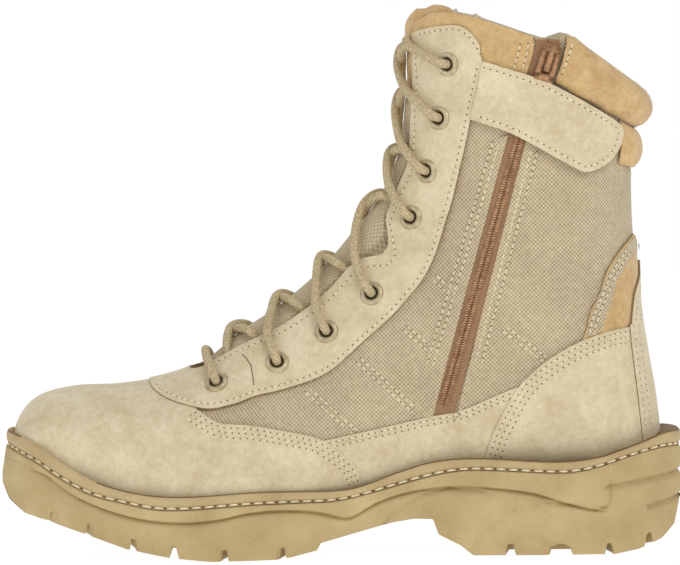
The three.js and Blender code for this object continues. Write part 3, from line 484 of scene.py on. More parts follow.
def woven(name, dark, light, thread_mm, depth=0.28):
    material, tree, shader = blank(name, 0.85, sheen=0.15)
    uv = add(tree, "ShaderNodeUVMap", uv_map="cloth").outputs[0]
    split = add(tree, "ShaderNodeSeparateXYZ", {0: uv})
    turns = [times(tree, split.outputs[axis], math.pi / thread_mm) for axis in (0, 1)]
    waves = [add(tree, "ShaderNodeMath", {0: angle}, operation="SINE").outputs[0] for angle in turns]
    weave = times(tree, *waves)
    tone = times(tree, weave, 0.28, times(tree, noise(tree, 2.2, 3), 0.35))
    tone = times(tree, noise(tree, 30, 2), 0.3, tone)
    paint(tree, shader, tone, 0.02, 0.63, dark, light)
    bump(tree, shader, weave, depth, 0.6)
    return material


quarter_cloth = woven("woven nylon cloth", "#9B8765", "#E2D2B0", 0.95, depth=0.2)
lining_cloth = woven("knitted lining", "#BFB08F", "#DCD0B2", 1.6, depth=0.2)
zip_cloth = woven("zip tape", "#8C6748", "#B68E6A", 0.7, depth=0.2)

# %% [markdown]
# ### Rubber, thread, metal and lace
# Moulded rubber has a fine even grit. A darker rubber on the welt's upward faces is painted shade in
# the seam under the upper. Thread is cream polyester. The eyelets and the slider are lacquered metal.
# The lace is a round braid, whose ridges are in its mesh.

# %% The other materials


def rubber(name, dark, light):
    material, tree, shader = blank(name, 0.78)
    grit = noise(tree, 0.7, 3)
    paint(tree, shader, times(tree, grit, 0.5, noise(tree, 22, 3)), 0.5, 1.0, dark, light)
    bump(tree, shader, grit, 0.12, 0.5)
    return material


def fine(name, dark, light, roughness, metallic, period_mm, depth=0.05):
    material, tree, shader = blank(name, roughness, metallic)
    speck = noise(tree, period_mm, 4)
    paint(tree, shader, speck, 0.35, 0.65, dark, light)
    bump(tree, shader, speck, depth, 0.4)
    return material


sole_rubber = rubber("moulded rubber", "#B49B6A", "#CDB888")
welt_rubber = rubber("welt rubber", "#B39A6C", "#CDB78A")
# painted shade: a darker rubber for the welt's upward faces, in the seam under the upper
welt_seam_shade = rubber("painted shade in the welt seam", "#6E5735", "#8B7249")
thread_material = fine("polyester thread", "#DACBA6", "#F6EACB", 0.7, 0, 0.8)
# painted shadow: dark discs down the eyelets' barrels, where the hole is only shade
hole_shadow = fine("painted shadow inside an eyelet", "#2E2417", "#3C3020", 0.95, 0, 0.8)
# painted shade: a dark disc stands for the shade down each needle hole, and a dark spot for each of the
# welt's holes
hole_shade_material = fine("needle hole", "#5E4A2C", "#7A6340", 0.95, 0, 0.8)
eyelet_lacquer = fine("sand lacquer on brass", "#B3A37F", "#D2C5A4", 0.36, 0.5, 3.0)
slider_lacquer = fine("brown lacquer on zinc", "#A0744F", "#C2946B", 0.42, 0.3, 3.0)
lace_fibre = fine("braided polyester", "#A8926A", "#DACAA4", 0.85, 0, 0.7, 0.12)
lining_cloth_plain = fine("footbed cloth", "#BBAA86", "#D2C3A0", 0.9, 0, 1.6, 0.2)
tongue_cloth = woven("tongue cloth", "#AF9D79", "#DFCFAC", 0.85)
coil_plastic = fine("coil nylon", "#A67A56", "#D2A67C", 0.45, 0, 2.0)
floor_paper, paper_tree, paper_shader = blank("white paper", 0.9)
paper_shader.inputs["Base Color"].default_value = (0.9, 0.9, 0.9, 1)
paper_shader.inputs["Emission Color"].default_value = (1, 1, 1, 1)
paper_shader.inputs["Emission Strength"].default_value = 0.4
paper_rays = add(paper_tree, "ShaderNodeLightPath").outputs["Is Camera Ray"]
paper_seen = times(paper_tree, paper_rays, 0.9)
paper_white = add(paper_tree, "ShaderNodeEmission", {"Strength": 1.03}).outputs[0]
paper_mix = add(paper_tree, "ShaderNodeMixShader",
                {0: paper_seen, 1: paper_shader.outputs[0], 2: paper_white})
paper_tree.links.new(paper_mix.outputs[0], paper_tree.nodes["Material Output"].inputs["Surface"])
floor_mesh.materials.append(floor_paper)

# %% [markdown]
# ## Pieces cut from the form
# A sewn piece is an outline on the last. The outline is filled, cut into a fine net by bisecting it
# with many planes, and only then moved on to the form. Solidify gives it the leather's thickness and
# Bevel the soft cut edge.

# %% Outline to surface
PLACE_UNIT = 14.0     # mm of net for one place
ANGLE_UNIT = 0.62     # mm of net for one degree
WELD = 0.35           # mm under which two corners of a net become one


def dress(name, mesh, materials, nodes=(), slot=None, body="boot", sharp=None):
    """Object of a mesh: smooth, with its materials, its body and the nodes it replaces; slot is not used."""
    for face in mesh.polygons:
        face.use_smooth = True
    if sharp:
        mesh.set_sharp_from_angle(angle=math.radians(sharp))
    for material in materials:
        mesh.materials.append(material)
    made = put(name, mesh)
    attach(made, body)
    if nodes:
        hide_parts(*nodes)
    print(name, "faces", len(mesh.polygons))
    return made


def keep_mesh(bm, name, *rest, **more):
    mesh = bpy.data.meshes.new(name)
    bm.to_mesh(mesh)
    bm.free()
    return dress(name, mesh, *rest, **more)


def to_frame(points):
    return (points - shift) * MM


def move(bm, points):
    """Put the vertices on points of the last, given in millimetres."""
    for vert, point in zip(bm.verts, to_frame(points)):
        vert.co = point


def lay_uv(bm, values):
    layer = bm.loops.layers.uv.new("cloth")
    bm.verts.index_update()
    for face in bm.faces:
        for loop in face.loops:
            loop[layer].uv = values[loop.vert.index]


def grid(columns, rows):
    """A plain grid, and where its vertices lie on it, from 0 to 1 both ways."""
    bm = bmesh.new()
    bmesh.ops.create_grid(bm, x_segments=columns, y_segments=rows, size=0.5)
    return bm, np.array([v.co[:2] for v in bm.verts]) + 0.5


def net(outline, step):
    """A filled outline in place and angle, cut into cells of about step mm."""
    flat = np.asarray(outline, float) * (PLACE_UNIT, ANGLE_UNIT)
    area = (flat[:, 0] * np.roll(flat[:, 1], -1) - flat[:, 1] * np.roll(flat[:, 0], -1)).sum()
    if area < 0:
        flat = flat[::-1]
    bm = bmesh.new()
    bm.faces.new([bm.verts.new((u, v, 0)) for u, v in flat])
    bm.normal_update()
    bmesh.ops.triangulate(bm, faces=bm.faces[:])
    for axis in (0, 1):
        low, high = flat[:, axis].min(), flat[:, axis].max()
        count = max(2, int((high - low) / step))
        normal = (1, 0, 0) if axis == 0 else (0, 1, 0)
        for cut in np.linspace(low, high, count + 1)[1:-1]:
            at = (cut, 0, 0) if axis == 0 else (0, cut, 0)
            geometry = bm.verts[:] + bm.edges[:] + bm.faces[:]
            bmesh.ops.bisect_plane(bm, geom=geometry, dist=1e-5, plane_co=at, plane_no=normal)
    return bm


ring_places = np.linspace(0, LAST_PLACE, 241)
ring_grid = skin(ring_places[:, None], np.linspace(-270, 90, 721)[None, :])
ring_steps = np.diff(ring_grid, axis=1)
ring_lengths = np.hypot(ring_steps[..., 0], ring_steps[..., 1]) * np.sign(ring_steps[..., 0])
ring_sum = np.concatenate((np.zeros((len(ring_places), 1)), np.cumsum(ring_lengths, 1)), 1)
SIDE_COLUMN = 540     # column of the ring grid at angle 0
ring_u = ring_sum - ring_sum[:, [SIDE_COLUMN]] + ring_grid[:, [SIDE_COLUMN], 0]


def cloth_uv(place, angle):
    """Millimetres across and up the cloth, so that a weave keeps its size round the boot."""
    angle = (np.asarray(angle) + 270) % 360 - 270
    row = np.clip(place / LAST_PLACE * 240, 0, 239.999)
    col = np.clip((angle + 270) * 2, 0, 719.999)
    i, j = row.astype(int), col.astype(int)
    u, v = row - i, col - j
    mixed = ((ring_u[i, j] * (1 - v) + ring_u[i, j + 1] * v) * (1 - u)
             + (ring_u[i + 1, j] * (1 - v) + ring_u[i + 1, j + 1] * v) * u)
    return np.stack((mixed, skin(place, angle)[:, 2]), -1)


def thicken(made, thickness, bevel=0.0, materials=1):
    wall = made.modifiers.new("thickness", "SOLIDIFY")
    wall.thickness, wall.offset, wall.use_even_offset = thickness * MM, -1, False
    if materials > 1:
        wall.material_offset, wall.material_offset_rim = 1, 1
    if bevel:
        edge = made.modifiers.new("edge", "BEVEL")
        edge.width, edge.segments = bevel * MM, 2
        edge.limit_method, edge.angle_limit = "ANGLE", math.radians(50)


def sewn(name, outline, out, thickness, materials, nodes=(), slot=None, step=2.2, relief=None, bevel=0.45):
    bm = net(outline, step)
    flat = np.array([v.co[:2] for v in bm.verts])
    place, angle = flat[:, 0] / PLACE_UNIT, flat[:, 1] / ANGLE_UNIT
    base = skin(place, angle)
    extra = fold_depth(base[:, 0], base[:, 2])
    if relief is not None:
        extra = extra + relief(base, place, angle)
    lay_uv(bm, cloth_uv(place, angle))
    move(bm, skin_out(place, angle, out + extra))
    bmesh.ops.remove_doubles(bm, verts=bm.verts[:], dist=WELD * MM)
    made = keep_mesh(bm, name, materials, nodes, slot)
    thicken(made, thickness, bevel, len(materials))
    return made


def mirrored(path, about=90):
    """The outer side's copy of a path, in reverse, so that both join over the front or the back."""
    return [(p, 2 * about - a) for p, a in reversed(path)]


def both_halves(half, about=90):
    return half + mirrored(half, about)[1:-1]


def curve(points, step=3.0):
    """Points on a smooth curve through the given ones, about step mm apart."""
    points = np.asarray(points, float)
    count = max(4, int(np.hypot(*np.diff(points, axis=0).T).sum() / step))
    return smooth_rows(points, np.linspace(0, len(points) - 1, count))


def on_last(points):
    return [tuple(p) for p in locate(curve(points))]


HIDDEN = 4.0          # mm that a piece runs down inside the welt
def meets_seam(low, high, angle):
    """Place where the front or back line of the form comes down to the edge inside the welt."""
    places = np.linspace(low, high, 400)
    line = skin(places, angle)
    return float(np.interp(0, line[:, 2] - line_at(SEAM_LINE, line[:, 0]) + HIDDEN, places))


toe_place, heel_place = meets_seam(0, 4, 90), meets_seam(13, 17, -90)
low_places = np.linspace(toe_place, heel_place, 120)
low_angles = solve_angle(low_places, SEAM_LINE, HIDDEN)
low_angles[0], low_angles[-1] = 90, -90
low_x = skin(low_places, low_angles)[:, 0]
print("edge inside the welt: places", round(toe_place, 2), "to", round(heel_place, 2))


def low_edge(x0, x1):
    """Edge inside the welt of the inner side, between two x."""
    p0, p1 = np.interp((-x0, -x1), -low_x, low_places)
    places = np.linspace(p0, p1, max(4, int(abs(p1 - p0) * 6)))
    return list(zip(places, np.interp(places, low_places, low_angles)))


throat_places = np.linspace(THROAT_START, LAST_PLACE, 170)
throat_path = [(THROAT_START, 90)]
throat_path += list(zip(throat_places, angle_at(throat_places, throat_half(throat_places))))

# %% [markdown]
# ## Upper
# The wall of nylon with its lining: one shell, open at the throat, the collar and underneath. The
# cloth stands a little proud between the quilting lines, so each line is a trough.

# %% The upper's wall
QUILT = (  # double stitch lines of the quarter, side view shares
    ((0.553, 0.307), (0.478, 0.222)), ((0.478, 0.358), (0.381, 0.248)), ((0.410, 0.415), (0.352, 0.352)),
    ((0.367, 0.505), (0.336, 0.470)), ((0.266, 0.412), (0.196, 0.345)),
)


def trough(x, z, line, width):
    """1 on a side line, falling softly to 0 at about twice width from it."""
    away = np.min([line_gap(x, z, a, b) for a, b in zip(line[:-1], line[1:])], axis=0)
    return np.exp(-(away / width) ** 2)


PUFF = 0.7            # mm that the cloth stands proud between the lines
QUILT_DEPTH = 0.8
QUILT_WIDTH = 2.2


def quilting(base, place, angle):
    puff = np.full(len(base), PUFF)
    for ends in QUILT:
        puff -= QUILT_DEPTH * trough(base[:, 0], base[:, 2], side(*ends), QUILT_WIDTH)
    return puff


top_start = float(angle_at(np.array([22.4]), throat_half(22.4))[0])
top_angles = np.linspace(top_start, -180 - top_start, 160)
top_places = solve_place(top_angles, COLLAR_LINE)
throat_up = [(p, a) for p, a in throat_path if p < top_places[0] - 0.05]
seam_front = [(p, 90) for p in np.linspace(toe_place, THROAT_START, 30)[:-1]]
low_path = list(zip(low_places, low_angles))
upper_edge = (seam_front + throat_up + list(zip(top_places, top_angles)) + mirrored(throat_up, -90)
              + mirrored(seam_front, -90) + mirrored(low_path[::-1], -90)[1:] + low_path[::-1][1:-1])
sewn("boot_upper", upper_edge, -LIFT, WALL, [quarter_cloth, lining_cloth], ["upper"], "woven_upper",
     step=2.6, relief=quilting, bevel=0)

# %% [markdown]
# ## Suede overlays
# Toe vamp, foxing, counter and eyestay are sand suede, the heel panels and the collar fronts a
# browner one. The outlines are those of the solids, as smooth curves. Where one lies over the next
# it stands a little further out, as in the real stack of leathers.

# %% Overlay outlines and pieces
UNDERLAP = 3.0        # mm that a piece runs on under its neighbour
EYESTAY_OUT = 1.0
COUNTER_OUT = 0.7
STAY_OUT = 1.3
CREST_LEVEL = 0.408   # of the height: top of the counter at the back
STAY_LEVEL = 0.562    # of the height: top of the backstay
HIDES = {"light_suede": light_suede, "brown_suede": brown_suede}
VAMP_TOP = side(
    (0.467, 0.110), (0.471, 0.135), (0.483, 0.168), (0.503, 0.190), (0.517, 0.202), (0.534, 0.215),
    (0.562, 0.224), (0.597, 0.233), (0.633, 0.241), (0.675, 0.246), (0.699, 0.260), (0.722, 0.280))
EYESTAY_OUTER = side(
    (0.782, 0.314), (0.776, 0.303), (0.760, 0.290), (0.738, 0.279), (0.712, 0.272), (0.687, 0.271),
    (0.653, 0.279), (0.624, 0.292), (0.580, 0.304), (0.520, 0.331), (0.467, 0.386), (0.419, 0.439),
    (0.374, 0.507), (0.355, 0.562), (0.335, 0.640), (0.319, 0.717), (0.307, 0.785), (0.289, 0.886))
EYESTAY_TOP = side(
    (0.284, 0.900), (0.302, 0.936), (0.317, 0.950), (0.332, 0.954), (0.361, 0.950), (0.378, 0.945),
    (0.388, 0.940))
COUNTER_EDGE = side(
    (0.292, 0.161), (0.290, 0.180), (0.276, 0.228), (0.242, 0.302), (0.204, 0.347), (0.156, 0.382),
    (0.111, 0.400), (0.082, 0.405), (0.066, 0.407), (0.045, 0.408))
FOXING_TOP = side(
    (0.523, 0.212), (0.478, 0.223), (0.416, 0.239), (0.371, 0.251), (0.327, 0.261), (0.276, 0.287),
    (0.244, 0.303))
PANEL_EDGE = side(
    (0.142, 0.404), (0.135, 0.437), (0.122, 0.465), (0.110, 0.507), (0.091, 0.542), (0.068, 0.571))
STAY_EDGE = side((0.058, 0.562), (0.061, 0.500), (0.070, 0.465), (0.075, 0.425), (0.077, 0.400))
COLLAR_REAR = side((0.2155, 0.927), (0.2155, 0.906), (0.226, 0.864))
STAY_LOW = side((0.079, 0.411), (0.075, 0.355), (0.068, 0.285), (0.061, 0.204))
BAND_FRONT = side(
    (0.069, 0.565), (0.091, 0.537), (0.107, 0.507), (0.118, 0.477), (0.129, 0.447), (0.139, 0.416),
    (0.141, 0.392))
BAND_BACK = side(
    (0.052, 0.548), (0.062, 0.544), (0.081, 0.517), (0.096, 0.488), (0.105, 0.451), (0.113, 0.427),
    (0.119, 0.403))
EYESTAY_SEAM = side((0.643, 0.361), (0.631, 0.343), (0.627, 0.305))
ZIP_BAND_FRONT = side((0.270, 0.748), (0.321, 0.543), (0.372, 0.337))
ZIP_BAND_BACK = side((0.214, 0.733), (0.258, 0.535), (0.302, 0.336))
FOLD_FRONT = side((0.253, 0.757), (0.316, 0.478), (0.360, 0.281), (0.368, 0.245))
FOLD_BACK = side((0.225, 0.757), (0.285, 0.478), (0.330, 0.263), (0.336, 0.245))

vamp_side = on_last(VAMP_TOP)
eyestay_outer = on_last(EYESTAY_OUTER)
eyestay_outer[0] = (eyestay_outer[0][0], 90)
eyestay_top = on_last(EYESTAY_TOP)
counter_side = on_last(COUNTER_EDGE)


def hide(name, path, out, thickness, nodes=(), slot="light_suede"):
    """A piece of suede with its dark cut edge, darkened further as painted shade at its step."""
    sewn(name, path, out, thickness, [HIDES[slot], cut_edge_and_shade], nodes, slot)


def back_place(level):
    """Place where the back line stands at a share of the height."""
    return float(solve_place(np.array([-90.0]), side((0, level), (0.3, level)), 14)[0])


vamp_under = [(p + 0.2, a) for p, a in eyestay_outer if p + 0.2 < vamp_side[-1][0]][::-1]
vamp_half = low_path[:1] + low_edge(low_x[0] - 0.5, VAMP_TOP[0, 0]) + vamp_side[1:] + vamp_under
hide("toe_suede", both_halves(vamp_half), 0.3, OVERLAY + 0.3, ["toe_vamp"])

throat_low = [(p, a) for p, a in throat_path if p < eyestay_top[-1][0] - 0.05]
eyestay_half = eyestay_outer + eyestay_top[1:] + throat_low[::-1]
hide("eyestay_suede", both_halves(eyestay_half), EYESTAY_OUT, OVERLAY + 1.0, ["eyestay"])

crest, stay_top = back_place(CREST_LEVEL), back_place(STAY_LEVEL)
counter_half = low_path[-1:] + low_edge(low_x[-1] + 0.5, COUNTER_EDGE[0, 0]) + counter_side[1:]
counter_half += [(crest, -90)]
hide("counter_suede", both_halves(counter_half, -90), COUNTER_OUT, OVERLAY + 0.7, ["heel_counter"])

foxing_path = on_last(FOXING_TOP) + on_last(COUNTER_EDGE[3:0:-1] - (UNDERLAP, 0))
foxing_path += low_edge(COUNTER_EDGE[0, 0] - UNDERLAP, VAMP_TOP[0, 0] + UNDERLAP)
foxing_path += on_last(VAMP_TOP[1:6] + (UNDERLAP, -0.5))
panel_path = on_last(PANEL_EDGE) + on_last(STAY_EDGE) + on_last(COUNTER_EDGE[5:8][::-1] - (0, UNDERLAP))
stay_half = [(crest - 0.06, -90)] + on_last(STAY_EDGE[::-1]) + [(stay_top, -90)]
hide("backstay_suede", both_halves(stay_half, -90), STAY_OUT, OVERLAY + 1.0, ["backstay"])
low_half = low_path[-1:] + low_edge(low_x[-1] + 0.5, STAY_LOW[-1, 0]) + on_last(STAY_LOW[::-1])
low_half += [(crest + 0.05, -90)]
hide("backstay_suede_low", both_halves(low_half, -90), STAY_OUT, 1.2)
collar_top = [(p, a) for p, a in zip(top_places, top_angles) if a > locate(COLLAR_REAR[:1])[0][1]]
collar_front = [(top_places[0] - 0.6, top_start)] + collar_top + on_last(COLLAR_REAR)
collar_front += on_last(side((0.226, 0.864), (0.258, 0.873), (0.289, 0.884)))
collar_front += on_last(EYESTAY_TOP - (0, UNDERLAP))[1:]
band_path = on_last(BAND_FRONT) + on_last(BAND_BACK[::-1])
for name, turned in (("medial", list), ("lateral", mirrored)):
    hide(f"foxing_suede_{name}", turned(foxing_path), 0.0, OVERLAY, [f"foxing_{name}"])
    hide(f"heel_panel_suede_{name}", turned(panel_path), 0.1, OVERLAY, [f"heel_panel_{name}"],
         "brown_suede")
    hide(f"collar_front_suede_{name}", turned(collar_front), 0.2, OVERLAY, [f"collar_front_{name}"],
         "brown_suede")
    sewn(f"woven_rear_band_{name}", turned(band_path), 0.5, 0.8, [quarter_cloth], (), "woven_upper", step=1.6)

# %% [markdown]
# ## Collar rolls
# Two soft rolls of suede round the back of the collar are filled with foam. Their skin is longer than
# the seam under it, so it puckers a little. The lower one starts behind the strap.

# %% Rolls
ROLL_UPPER = 7.6
ROLL_LOWER = 5.0
ROLL_BACK = 1.2
crowns = {}


def roll(name, low, high, starts, end, puff):
    start = max(starts)
    angles = np.linspace(start, end, 120)
    bottoms, tops = solve_place(angles, low), solve_place(angles, high)

    def crown(base, place, angle):
        a = np.interp(-angle, -angles, bottoms)
        b = np.interp(-angle, -angles, tops)
        v = np.clip((place - a) / np.maximum(b - a, 0.05), 0, 1)
        fade = 0.35 + 0.65 * np.sin(np.pi * np.clip((start - angle) / (start - end), 0, 1)) ** 0.6
        pucker = 0.25 * np.sin(angle * 1.9) * np.sin(angle * 0.61 + 1) * (1 - v) ** 2
        return puff * fade * np.sin(np.pi * v) ** 0.62 + pucker * np.sin(np.pi * v) ** 0.5 - fold_depth(
            base[:, 0], base[:, 2])

    crowns[name] = crown
    low_run, high_run = (np.linspace(first, end, 120) for first in starts)
    path = list(zip(solve_place(low_run, low), low_run))
    path += list(zip(solve_place(high_run, high), high_run))[::-1]
    made = sewn(name, path, -0.1, ROLL_BACK, [brown_suede], [name.replace("suede_", "")], "brown_suede",
                step=1.5, relief=crown, bevel=0)


roll_front = locate(side((0.186, 0.856), (0.167, 0.930)))[:, 1]
roll("suede_collar_roll_upper", ROLL_SEAM, COLLAR_LINE, roll_front, -174, ROLL_UPPER)
roll("suede_collar_roll_lower", ROLL_BOTTOM, ROLL_SEAM, (-57, -57), -174, ROLL_LOWER)

# %% [markdown]
# ## Tongue
# The tongue is a padded strip of cloth under the laces, wider than the throat, with a suede band round
# its top. It is a plain grid bent over the front of the last: place runs up it and y across it.

# %% Tongue
TONGUE = 4.5
TONGUE_HALF = 27.0
TONGUE_LENGTH = 210.0
TONGUE_RISE = 18.4
TONGUE_START = 6.2
TONGUE_END = 23.25
TONGUE_WING = -LIFT - WALL - GAP - 0.5
BAND_START = 20.6
BAND_LEVEL = 0.210    # metres above the ground, where the band's suede begins


def tongue_shape(u, v):
    y = (u - 0.5) * 2 * TONGUE_HALF
    end = TONGUE_END - 1.15 * (1 - np.abs(y) / TONGUE_HALF) ** 2
    place = TONGUE_START + (end - TONGUE_START) * v
    room = np.minimum(throat_half(np.maximum(place, THROAT_START)) - 1.3, TONGUE_RISE)
    inside = np.clip((room - np.abs(y)) / 1.6, 0, 1)
    open_end = np.clip((place - THROAT_START) / 0.5, 0, 1)
    crest = -0.8 - 1.0 * (np.abs(y) / np.maximum(room, 1)) ** 3
    lift = (inside * inside * (3 - 2 * inside)) * open_end
    edge = np.clip((end - place) / 0.35, 0, 1)
    band = 0.7 * np.clip((place - BAND_START) / 0.05, 0, 1)
    out = TONGUE_WING + (crest + band - TONGUE_WING) * lift - 2.0 * (1 - edge) ** 2
    return skin_out(place, angle_at(place, y), out)


tongue_bm, tongue_flat = grid(64, 200)
lay_uv(tongue_bm, tongue_flat * (2 * TONGUE_HALF, TONGUE_LENGTH))
move(tongue_bm, tongue_shape(*tongue_flat.T))
tongue = keep_mesh(tongue_bm, "padded_tongue", [tongue_cloth, brown_suede], ["tongue"], "tongue_cloth")
for face in tongue.data.polygons:
    if sum(tongue.data.vertices[i].co.z for i in face.vertices) / 4 > BAND_LEVEL:
        face.material_index = 1
thicken(tongue, TONGUE, 0.6)

# %% [markdown]
# ## Sole and welt
# The outsole is moulded rubber: a wall round the plan of the sole, set back below the step that arches
# over the forefoot and the heel, with lugs cut in from both edges. Both pieces are a strip of grid
# closed to a ring. Columns follow the plan's outline and rows are levels of the wall.

# %% Sole
SOLE_STEP = 2.8
LUG_DEPTH = 5.0
SPINE = 0.11
ARCHED = 8.0
TOE_LEAN = 2.2        # mm that the wall leans in above the toe's widest level
GROOVES = (  # along, wide, turn
    (0.051, 3.5, 18), (0.110, 3, 8), (0.181, 10, 0), (0.256, 4, -6),
    (0.587, 3.6, -12), (0.671, 3.6, -8), (0.744, 3.2, 0), (0.804, 3, 8), (0.870, 3, 16), (0.925, 2.6, 24),
)
HEEL_RIBS = (side((-0.02, 0.146), (0.112, 0.121)), side((-0.02, 0.102), (0.050, 0.083)))
WAIST_LINES = (
    side((0.448, 0.032), (0.430, 0.076), (0.385, 0.110), (0.345, 0.122), (0.300, 0.117), (0.275, 0.108)),
    side((0.308, 0.020), (0.282, 0.055), (0.240, 0.089), (0.197, 0.095), (0.150, 0.088), (0.115, 0.084)),
    side((0.130, 0.082), (0.116, 0.084), (0.108, 0.094), (0.107, 0.132)),
    side((0.236, 0.032), (0.214, 0.036), (0.188, 0.004)),
)
RIB_CUT, WAIST_CUT, STEP_CUT = (2.0, 1.1), (1.1, 0.75), (1.2, 0.6)    # depth and width in mm
COLUMNS = 1080

plan_edge = np.concatenate(([(0, plan[0, 1] * BALL_WIDTH)],
                            np.stack((plan_x, (plan[:, 1] + plan[:, 2]) * BALL_WIDTH), -1),
                            [(LENGTH, plan[-1, 1] * BALL_WIDTH)],
                            np.stack((plan_x, (plan[:, 1] - plan[:, 2]) * BALL_WIDTH), -1)[::-1],
                            [(0, plan[0, 1] * BALL_WIDTH)]))
plan_run = run_along(plan_edge)
toe_run = plan_run[len(plan) + 1]
run = np.linspace(0, plan_run[-1], COLUMNS, endpoint=False)
edge = at_run(run, plan_run, plan_edge)
for _ in range(14):
    edge = (np.roll(edge, 1, 0) + 2 * edge + np.roll(edge, -1, 0)) / 4
along_edge = np.roll(edge, -1, 0) - np.roll(edge, 1, 0)
out_edge = np.stack((-along_edge[:, 1], along_edge[:, 0]), -1)
out_edge /= np.linalg.norm(out_edge, axis=1, keepdims=True)
edge_x = edge[:, 0]
mid_y = np.interp(edge_x, plan_x, plan[:, 1] * BALL_WIDTH)


def groove_mask(x, y):
    """1 in a groove of the tread. Its place is that of its outer end, and a wide one has an arched roof."""
    mask = np.zeros(np.shape(x))
    for along, wide, degrees in GROOVES:
        tilt = math.radians(degrees)
        middle, half = (np.interp(along, plan[:, 0], plan[:, k]) * BALL_WIDTH for k in (1, 2))
        rim = half + np.where(y > 0, middle, -middle)
        away = np.abs((x - along * LENGTH) * math.cos(tilt) + (np.abs(y) - rim) * math.sin(tilt))
        cut = np.clip((wide / 2 + 0.3 - away) / 0.7, 0, 1)
        cut = cut * np.clip((np.abs(y) - SPINE * BALL_WIDTH) / 1.5, 0, 1)
        if wide > ARCHED:
            cut = cut * np.sqrt(np.clip(1 - (away / (wide / 2 + 0.4)) ** 2, 0, 1))
        mask = np.maximum(mask, cut)
    return mask


def ring_piece(name, rows, material, nodes, slot):
    """Rows are lists of points round the plan, closed to a band by the grid's two ends."""
    rows = np.array(rows)
    bm, flat = grid(COLUMNS, len(rows) - 1)
    i = np.rint(flat[:, 1] * (len(rows) - 1)).astype(int)
    j = np.rint(flat[:, 0] * COLUMNS).astype(int) % COLUMNS
    move(bm, rows[i, j])
    bmesh.ops.remove_doubles(bm, verts=bm.verts[:], dist=0.02 * MM)
    bmesh.ops.recalc_face_normals(bm, faces=bm.faces[:])
    return keep_mesh(bm, name, [material], nodes, slot, sharp=65)


def wall_row(z, out):
    out = out - TOE_LEAN * np.clip((edge_x / LENGTH - 0.91) / 0.08, 0, 1) * np.clip((z - 38) / 14, 0, 1)
    xy = edge + out_edge * np.broadcast_to(out, (COLUMNS,))[:, None]
    return np.column_stack((xy, np.broadcast_to(z, (COLUMNS,))))


def carved(row):
    """The row with the ribs round the heel and the lines over the waist cut in."""
    x, z = row[:, 0], row[:, 2]
    depth = RIB_CUT[0] * sum(trough(x, z, line, RIB_CUT[1]) for line in HEEL_RIBS)
    depth += WAIST_CUT[0] * sum(trough(x, z, line, WAIST_CUT[1]) for line in WAIST_LINES)
    depth += STEP_CUT[0] * fade * np.exp(-((z - step_z + 0.5) / STEP_CUT[1]) ** 2)
    moved = row.copy()
    moved[:, :2] -= out_edge * depth[:, None]
    return moved


step_curve = np.concatenate((side((0.0, 0.060)), STEP_LINE, side((0.965, 0.170), (1.0, 0.180))))
smooth_step = curve(step_curve, 2.0)
step_z = line_at(smooth_step, edge_x)
tread_z = line_at(TREAD_LINE, edge_x)
top_z = line_at(curve(STITCH_LINE, 2.0), edge_x)
fade = np.clip((edge_x - 0.110 * LENGTH) / 6, 0, 1) * np.clip((0.960 * LENGTH - edge_x) / 10, 0, 1)
fade *= np.clip((step_z - tread_z) / 3, 0, 1)
bottom_z = tread_z + LUG_DEPTH * groove_mask(edge_x, edge[:, 1])
low_top = np.maximum(step_z, bottom_z + 0.4)
sole_rows = []
for s in np.linspace(0, 0.97, 14):
    xy = np.column_stack((edge_x, mid_y + (edge[:, 1] - mid_y) * s))
    xy -= out_edge * (SOLE_STEP * fade * s ** 4)[:, None]
    under_z = np.where(edge_x < 2, np.maximum(tread_z, 0), tread_z)
    sole_rows.append(np.column_stack((xy, under_z + LUG_DEPTH * groove_mask(edge_x, xy[:, 1]))))
for w in np.concatenate((np.linspace(0, 0.9, 13), (0.93, 0.95, 0.965, 0.98, 0.99, 1.0))):
    rim = 0.7 * np.clip(1 - w * 9, 0, 1) ** 2
    sole_rows.append(carved(wall_row(bottom_z + (low_top - bottom_z) * w, -SOLE_STEP * fade - rim)))
for lift, share in ((0.05, 0.6), (0.12, 0.15), (0.45, 0.0)):
    sole_rows.append(carved(wall_row(low_top + lift, -SOLE_STEP * fade * share)))
for w in np.linspace(0.06, 1, 38):
    z = low_top + (top_z - low_top) * w
    sole_rows.append(carved(wall_row(z, -0.6 * np.clip((w - 0.93) / 0.07, 0, 1))))
sole_rows.append(wall_row(top_z, -2.5))
sole_rows.append(wall_row(top_z, -7.0))
ring_piece("rubber_outsole", sole_rows, sole_rubber, ["outsole"], "rubber_sole")

# %% [markdown]
# The welt is a strip of rubber that is stitched round the upper's foot. A groove along its lower edge
# holds the thread.

# %% Welt
seam_curve = curve(SEAM_LINE, 2.0)
seam_z = line_at(seam_curve, edge_x)
seam_places = np.linspace(toe_place + 0.3, heel_place - 0.02, 400)
seam_angles = solve_angle(seam_places, SEAM_LINE, 0.0)
share = np.where(run < toe_run, run / toe_run, (plan_run[-1] - run) / (plan_run[-1] - toe_run))


def seam_ring(angles):
    """Points of the seam under the upper, one for each column of the plan."""
    points = skin(seam_places, angles)[::-1]
    points = np.concatenate(([points[0] * (1, 0, 1)], points, [points[-1]]))
    length = run_along(points[:, :2])
    return at_run(share * length[-1], length, points)


